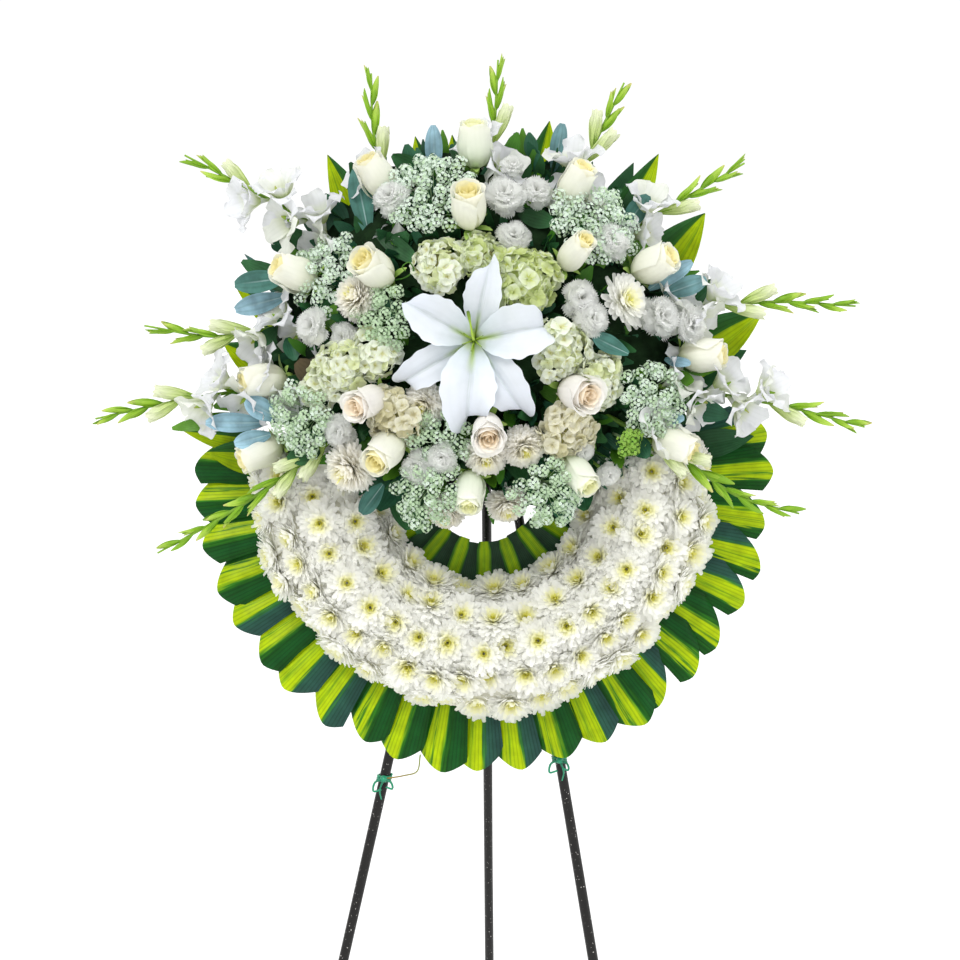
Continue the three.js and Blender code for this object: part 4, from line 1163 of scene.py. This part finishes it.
# ---- leaves ----
def collar_leaf(mass, angle, tilt, rng):
    """A folded leaf with a rounded, rippled tip, which lies tilt across the leaf from its middle."""
    t = np.linspace(0, 1, 12)[:, None]
    s = np.linspace(-1, 1, 15)[None, :]
    half = COLLAR["pitch"] * 0.62 * (1 + rng.normal(0, 0.03))
    tilt = rng.normal(tilt, 0.13)
    root = COLLAR["inner"] - 14
    end = COLLAR["outer"] - 2 + rng.normal(0, 2.5) - 23 * np.abs(s - tilt) ** 1.6
    turn = angle + s * half * (0.9 + 0.14 * t) + rng.normal(0, 0.5)
    lift = 1 + 3.4 * s + t * (3.0 * np.sin(4.2 * s + rng.random() * 2) + 2.5 * np.cos(3 * s) * t)
    lift = lift - 5 * np.clip((t - 0.86) / 0.14, 0, 1) ** 2
    points = polar(root + (end - root) * t, turn, lift)
    mass.sheets(points[None], marks_of(t, s, rng.random())[None], int(rng.random() < 0.5))


def outer_collar():
    """Striped leaves side by side round the ring, in three pieces."""
    share = (COLLAR["end"] - COLLAR["start"]) / len(SIDES)
    count = round(share / COLLAR["pitch"])
    for k, side in enumerate(SIDES):
        rng = np.random.default_rng(20 + k)
        mass = Mass(striped_leaf, green_striped_leaf)
        for i in range(count):
            collar_leaf(mass, COLLAR["start"] + share * (k + (i + 0.5) / count), COLLAR_TILT[side], rng)
        mass.build(f"collar_{side}", [f"leaf_collar_{side}"], "collar_leaf")


def inner_collar():
    """Leaves that point from the bed to the ring's centre, every other one lime and further forward."""
    rng = np.random.default_rng(30)
    mass = Mass(inner_leaf)
    root = INNER_LEAVES["root"] + 8
    for i, angle in enumerate(np.linspace(INNER_LEAVES["start"], INNER_LEAVES["end"], INNER_LEAVES["count"])):
        lime = i % 2
        reach = root - INNER_LEAVES["tip"] - 5 * rng.random()
        blades(mass, polar(root, angle, -5 + 5 * lime), -outwards(angle), FRONT, reach, 11.5 - 1.5 * lime,
               rng, mark=0.75 - 0.5 * lime, rows=9, columns=9, fold=0.22, bend=0.04, wave=1.5, shape=strap)
    mass.build("collar_inner", ["leaf_collar_inner"], "collar_leaf")


def upper_leaves():
    """Broad pointed leaves that stand out behind the arrangement, in two layers."""
    for name, leaves, seed in (("left", UPPER_LEFT, 31), ("right", UPPER_RIGHT, 32)):
        rng = np.random.default_rng(seed)
        mass = Mass(upper_leaf, deep_leaf, blue_leaf)
        for i, (tip_u, tip_v, half, kind) in enumerate(leaves):
            reach = math.hypot(tip_u, tip_v)
            outward = (tip_u * ACROSS + tip_v * UP) / reach
            behind, before = (-6, 1) if kind else (2, 8)
            layer = before if i % 2 else behind
            root = at(tip_u * UPPER_ROOT / reach, tip_v * UPPER_ROOT / reach, layer + i % 3)
            blades(mass, root, outward, FRONT, reach - UPPER_ROOT, half, rng, rows=18, columns=11, fold=0.26,
                   bend=0.03, wave=2.0, shape=sword, slot=kind, mark=0.75 if tip_u < 0 else 0.25)
        mass.build(f"upper_leaves_{name}_blades", [f"upper_leaves_{name}"], "collar_leaf")


def greenery_core(mass):
    """Packed mound with a flat back, coloured near black: painted shade of the deep gaps between the flowers.
    """
    a = evenly(72)[None, :]
    level = np.linspace(0, 1, 22)[:, None]
    ring = np.cos(level * np.pi / 2) * 0.97
    ripple = 1 + 0.03 * np.sin(7 * a + 9 * level) + 0.025 * np.sin(13 * a - 21 * level)
    reach = np.where(np.sin(a) > 0, MOUND["up"], MOUND["down"])
    behind = MOUND["back"] + 1
    rim = np.linspace(1, 0, 8)[:, None] * ring[0]
    for share, w, along in (
            (ring * ripple, behind + MOUND["rise"] * 0.95 * np.sin(level * np.pi / 2) * ripple, level),
            (rim, behind, rim)):
        u = MOUND["u"] + MOUND["across"] * share * np.cos(a)
        v = MOUND["v"] + reach * share * np.sin(a)
        mass.sheets(at(u, v, w)[None], marks_of(along, np.cos(9 * a), 0.5)[None], 0, wrap=True)


def small_leaves(mass, rng):
    """Small leaves over the whole dome that point away from its focus, lower under the lily."""
    count = 1100
    around = rng.random(count) * 2 * np.pi
    share = np.sqrt(rng.random(count))
    u = DOME["u"] + 242 * share * np.cos(around)
    v = DOME["v"] + np.where(np.sin(around) > 0, 232, 170) * share * np.sin(around)
    top = dome(u, v) - 24 * (np.hypot(u - LILY["u"], v - LILY["v"]) < 76)
    root = at(u, v, np.maximum(MOUND["back"] - 6, top - 52 - 26 * rng.random(count)))
    outward = unit(root - at(*FOCUS)) + rng.normal(0, 0.42, (count, 3))
    up = FRONT + rng.normal(0, 0.5, (count, 3))
    length = 26 + 24 * rng.random(count)
    half = 5 + 5 * rng.random(count)
    dark = rng.random(count) < 0.78
    for slot, chosen in ((1, dark), (2, ~dark)):
        blades(mass, root[chosen], outward[chosen], up[chosen], length[chosen], half[chosen], rng, rows=5,
               columns=3, bend=rng.normal(0, 0.12, chosen.sum()), fold=0.2, slot=slot)


def back_leaves(mass, rng):
    """Longer leaves flat on the back, over the former's upper half."""
    count = 70
    angle = np.linspace(8, 172, count)
    a = np.radians(angle)
    depth = MOUND["back"] - 2 - 3 * rng.random(count)
    start = at(MOUND["u"] + 60 * np.cos(a), MOUND["v"] + 40 * np.sin(a), depth)
    end = polar(262 + 60 * rng.random(count), angle, 16)
    blades(mass, (start + end) / 2, end - start, -FRONT, 60 + 70 * rng.random(count),
           13 + 6 * rng.random(count), rng, rows=6, slot=1, fold=0.1)


def greenery_mass():
    """Packed core of the arrangement, near black as painted shade, and the leaves that stand out of it."""
    mass = Mass(greenery, dark_leaf, bright_leaf)
    rng = np.random.default_rng(50)
    greenery_core(mass)
    small_leaves(mass, rng)
    back_leaves(mass, rng)
    mass.build("greenery", ["foliage_mound"], "greenery")


def single_leaves():
    """Leaves that stand out one by one, and a tendril."""
    rng = np.random.default_rng(60)
    blue = Mass(blue_leaf)
    green = Mass(dark_leaf, bright_leaf)
    brown = Mass(brown_leaf)
    for foot, tip, half, tone in BLUE_LEAVES:
        blade_between(blue, foot, tip, FRONT + 0.2 * rng.normal(0, 1, 3), half, rng, rows=14, columns=7,
                      fold=0.14, bend=0.06, shape=elliptic, wave=1.5, mark=tone)
    for foot, tip, half, slot in GREEN_LEAVES:
        blade_between(green, foot, tip, FRONT + 0.25 * rng.normal(0, 1, 3), half, rng, rows=9, columns=7,
                      fold=0.16, bend=0.08, slot=slot, wave=1.5)
    for foot, tip, half in BROWN_LEAVES:
        blade_between(brown, foot, tip, FRONT, half, rng, fold=0.2, shape=oval)
    tube(green, curve_through([at(*point) for point in TENDRIL], 30), np.linspace(1.1, 0.6, 30), 6, 1)
    blue.build("leaves_blue_grey", (), "greenery")
    green.build("leaves_single", (), "greenery")
    brown.build("leaves_brown", (), "greenery")


# ---- stand and former ----
POLE_RADIUS = 6.42
POLE_SIDES = 28


def pole_ends(name):
    """Middle of a pole's foot and of its top."""
    lowest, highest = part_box(name)
    points = np.array([vertex.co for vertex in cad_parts[name].data.vertices])
    foot = points[points[:, 2] < lowest.z + 1e-4].mean(0)
    top = points[points[:, 2] > highest.z - 0.03].mean(0)
    return foot, top


def pole(name):
    """A slightly uneven black rod, cut level with the floor."""
    foot, top = pole_ends(name)
    along = unit(top - foot)
    x = unit(ACROSS - along[0] * along)
    y = np.cross(along, x)
    a = evenly(POLE_SIDES)
    circle = (np.cos(a)[:, None] * x + np.sin(a)[:, None] * y) * POLE_RADIUS * MM
    rows = []
    for t in np.linspace(0, 1, 40):
        wobble = (x * math.sin(9 * t + foot[0] * 9) + y * math.cos(7 * t)) * 0.0004 * math.sin(math.pi * t)
        centre = foot + (top - foot) * t + wobble
        rows.append(centre + circle * (1 + 0.012 * math.sin(23 * t + foot[0] * 40)))
    rows[0] = rows[0] - np.outer(rows[0][:, 2] / along[2], along)
    middle = rows[-1].mean(0)
    tip = middle + along * MM
    rows.insert(0, np.repeat(rows[0].mean(0)[None], POLE_SIDES, 0))
    rows.append(tip + (rows[-1] - middle) * 0.8)
    rows.append(np.repeat(tip[None], POLE_SIDES, 0))
    mass = Mass(pole_black)
    t = np.linspace(0, 1, len(rows))[:, None]
    mass.sheets(np.array(rows)[None], marks_of(t, np.cos(a)[None], 0.3)[None], 0, wrap=True)
    mass.build(f"{name}_rod", [name], "pole")


def coil(centre, turn, across, deep, height, along):
    """Loops round an axis: turn in radians and height in millimetres, one for each point."""
    flat = (across * np.cos(turn))[:, None] * ACROSS + (deep * np.sin(turn))[:, None] * FRONT
    return centre + MM * (flat + height[:, None] * along)


def lashing():
    """Wire wound round the poles where they meet."""
    lowest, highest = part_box("apex_lashing")
    mass = Mass(wire_black)
    turn = np.linspace(0, 2 * np.pi * 9, 260)
    height = np.linspace(-13, 13, 260) + 1.5 * np.sin(turn * 0.37)
    tube(mass, coil(np.array((lowest + highest) / 2), turn, 17.6, 19.6, height, UP), 1.5, 7)
    mass.build("apex_wire", ["apex_lashing"], "wire")


def tie(side, sign):
    """Green tie that holds the ring to a pole: loops, a knot with two bows, and an end; sign is -1 on the
    left."""
    foot, top = pole_ends(f"pole_{side}")
    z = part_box(f"tie_{side}")[1].z - 0.0078
    axis = foot + (top - foot) * (z - foot[2]) / (top[2] - foot[2])
    knot = axis + FRONT * 0.011
    mass = Mass(tie_green, raffia)

    def strand(offsets, count, radius):
        """Strand from the knot, by points (u, v, w) away from it."""
        path = knot + MM * np.array([(0, 0, 0), *offsets]) @ np.array([ACROSS, UP, FRONT])
        tube(mass, curve_through(path, count), radius, 6)

    turn = np.linspace(0, 2 * np.pi * 3, 90)
    tube(mass, coil(axis, turn, 8.6, 8.6, np.linspace(-4, 4, 90), unit(top - foot)), 1.5, 7)
    for way, swing, drop in ((1, 9, 12), (-1, 11, 15)):
        strand([(swing * way, -4, 2), ((swing + 2) * way, -drop, 3), (3 * way, 2 - drop, 2)], 16,
               np.linspace(1.6, 1.2, 16))
    strand([(sign * 5, -14, 2), (sign * 3, -26, 0)], 12, np.linspace(1.5, 0.8, 12))
    spun(mass, [(0, -4.5), (4, -2.5), (4.8, 0.5), (3.6, 3.6), (0, 4.6)], 10, 0, facing(knot, FRONT))
    if side == "left":
        loose_end = [knot, at(-100, -368, -22), at(-84, -362, -20), at(-80, -340, -10)]
        tube(mass, curve_through(loose_end, 16), 0.9, 6, 1)
    mass.build(f"tie_{side}_loops", [f"tie_{side}"], "tie")


def stand():
    """Three poles, lashed at the top, and the ties that hold the ring."""
    for name in ("pole_left", "pole_right", "pole_rear"):
        pole(name)
    lashing()
    tie("left", -1)
    tie("right", 1)


def former():
    """Rough green ring with the wire that binds the leaves wound round it, and the foam block."""
    mass = Mass(former_green)
    a = np.linspace(0, 360, 144, endpoint=False)[None, :]
    profile = []
    for (r0, w0), (r1, w1) in zip(RING_PROFILE, RING_PROFILE[1:]):
        profile += [(r0 + (r1 - r0) * f, w0 + (w1 - w0) * f) for f in (0.0, 0.33, 0.67)]
    profile = np.array(profile + [profile[0]])
    radius = profile[:, :1]
    w = profile[:, 1:]
    rough = 0.5 * np.sin(np.radians(a) * 61 + radius) + 0.4 * np.sin(np.radians(a) * 37 + w * 2)
    points = polar(RING_MIDDLE + (radius - RING_MIDDLE) * 0.985 + 0.3 * rough, a, w * 0.985 + 0.3 * rough)
    mass.sheets(points[None], marks_of(a / 360, radius / radius.max(), 0.5)[None], 0, wrap=True)
    phase = np.linspace(0, 2 * np.pi, 24)
    for start in np.arange(0, 360, 15.0):
        angle = start + np.linspace(0, 7, 24)
        tube(mass, polar(RING_MIDDLE + 53 * np.cos(phase), angle, -1 + 25 * np.sin(phase)), 0.5, 5)
    mass.build("ring_former", ["ring_base"], "former")
    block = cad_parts["floral_foam"]
    block.data.materials.clear()
    block.data.materials.append(foam_green)


# ---- stage, light and camera ----
def look_along(direction):
    """Rotation of a lamp or camera that looks along direction."""
    return Vector(direction).to_track_quat("-Z", "Y")


def floor():
    """Large pale floor."""
    mesh = bpy.data.meshes.new("floor")
    corners = [(x * FLOOR_HALF, y * FLOOR_HALF, 0) for x, y in ((-1, -1), (1, -1), (1, 1), (-1, 1))]
    mesh.from_pydata(corners, [], [(0, 1, 2, 3)])
    material = bpy.data.materials.new("pale_floor")
    material.use_nodes = True
    inputs = material.node_tree.nodes["Principled BSDF"].inputs
    inputs["Base Color"].default_value = (0.9, 0.9, 0.9, 1)
    inputs["Roughness"].default_value = 0.9
    inputs["Specular IOR Level"].default_value = 0.1
    mesh.materials.append(material)
    placed("floor", mesh)


def studio_light():
    """White surroundings and two soft suns."""
    world = bpy.data.worlds.new("studio")
    bpy.context.scene.world = world
    world.use_nodes = True
    background = world.node_tree.nodes["Background"].inputs
    background["Color"].default_value = (1, 1, 1, 1)
    background["Strength"].default_value = WORLD_LIGHT
    for name, direction, spread, power in LAMPS:
        light = bpy.data.lights.new(name, "SUN")
        light.angle = math.radians(spread)
        light.energy = power
        lamp = placed(name, light)
        lamp.rotation_mode = "QUATERNION"
        lamp.rotation_quaternion = look_along(direction)


def camera():
    """Camera in front of the ring, square to it."""
    data = bpy.data.cameras.new("camera")
    data.sensor_width = CAMERA["sensor"]
    data.lens = CAMERA["sensor"] * CAMERA["w"] * MM / CAMERA["width"]
    view = placed("camera", data)
    view.location = at(CAMERA["u"], CAMERA["v"], CAMERA["w"])
    view.rotation_mode = "QUATERNION"
    view.rotation_quaternion = look_along(-FRONT)
    bpy.context.scene.camera = view
    bpy.context.scene.view_settings.view_transform = "Standard"


floor()
studio_light()
camera()
stand()
former()
outer_collar()
inner_collar()
upper_leaves()
chrysanthemum_bed()
greenery_mass()
single_leaves()
lily()
roses()
carnations()
large_chrysanthemums()
hydrangeas()
umbels()
for number, (path, open_share) in enumerate(GLADIOLI, 1):
    gladiolus(number, path, open_share)
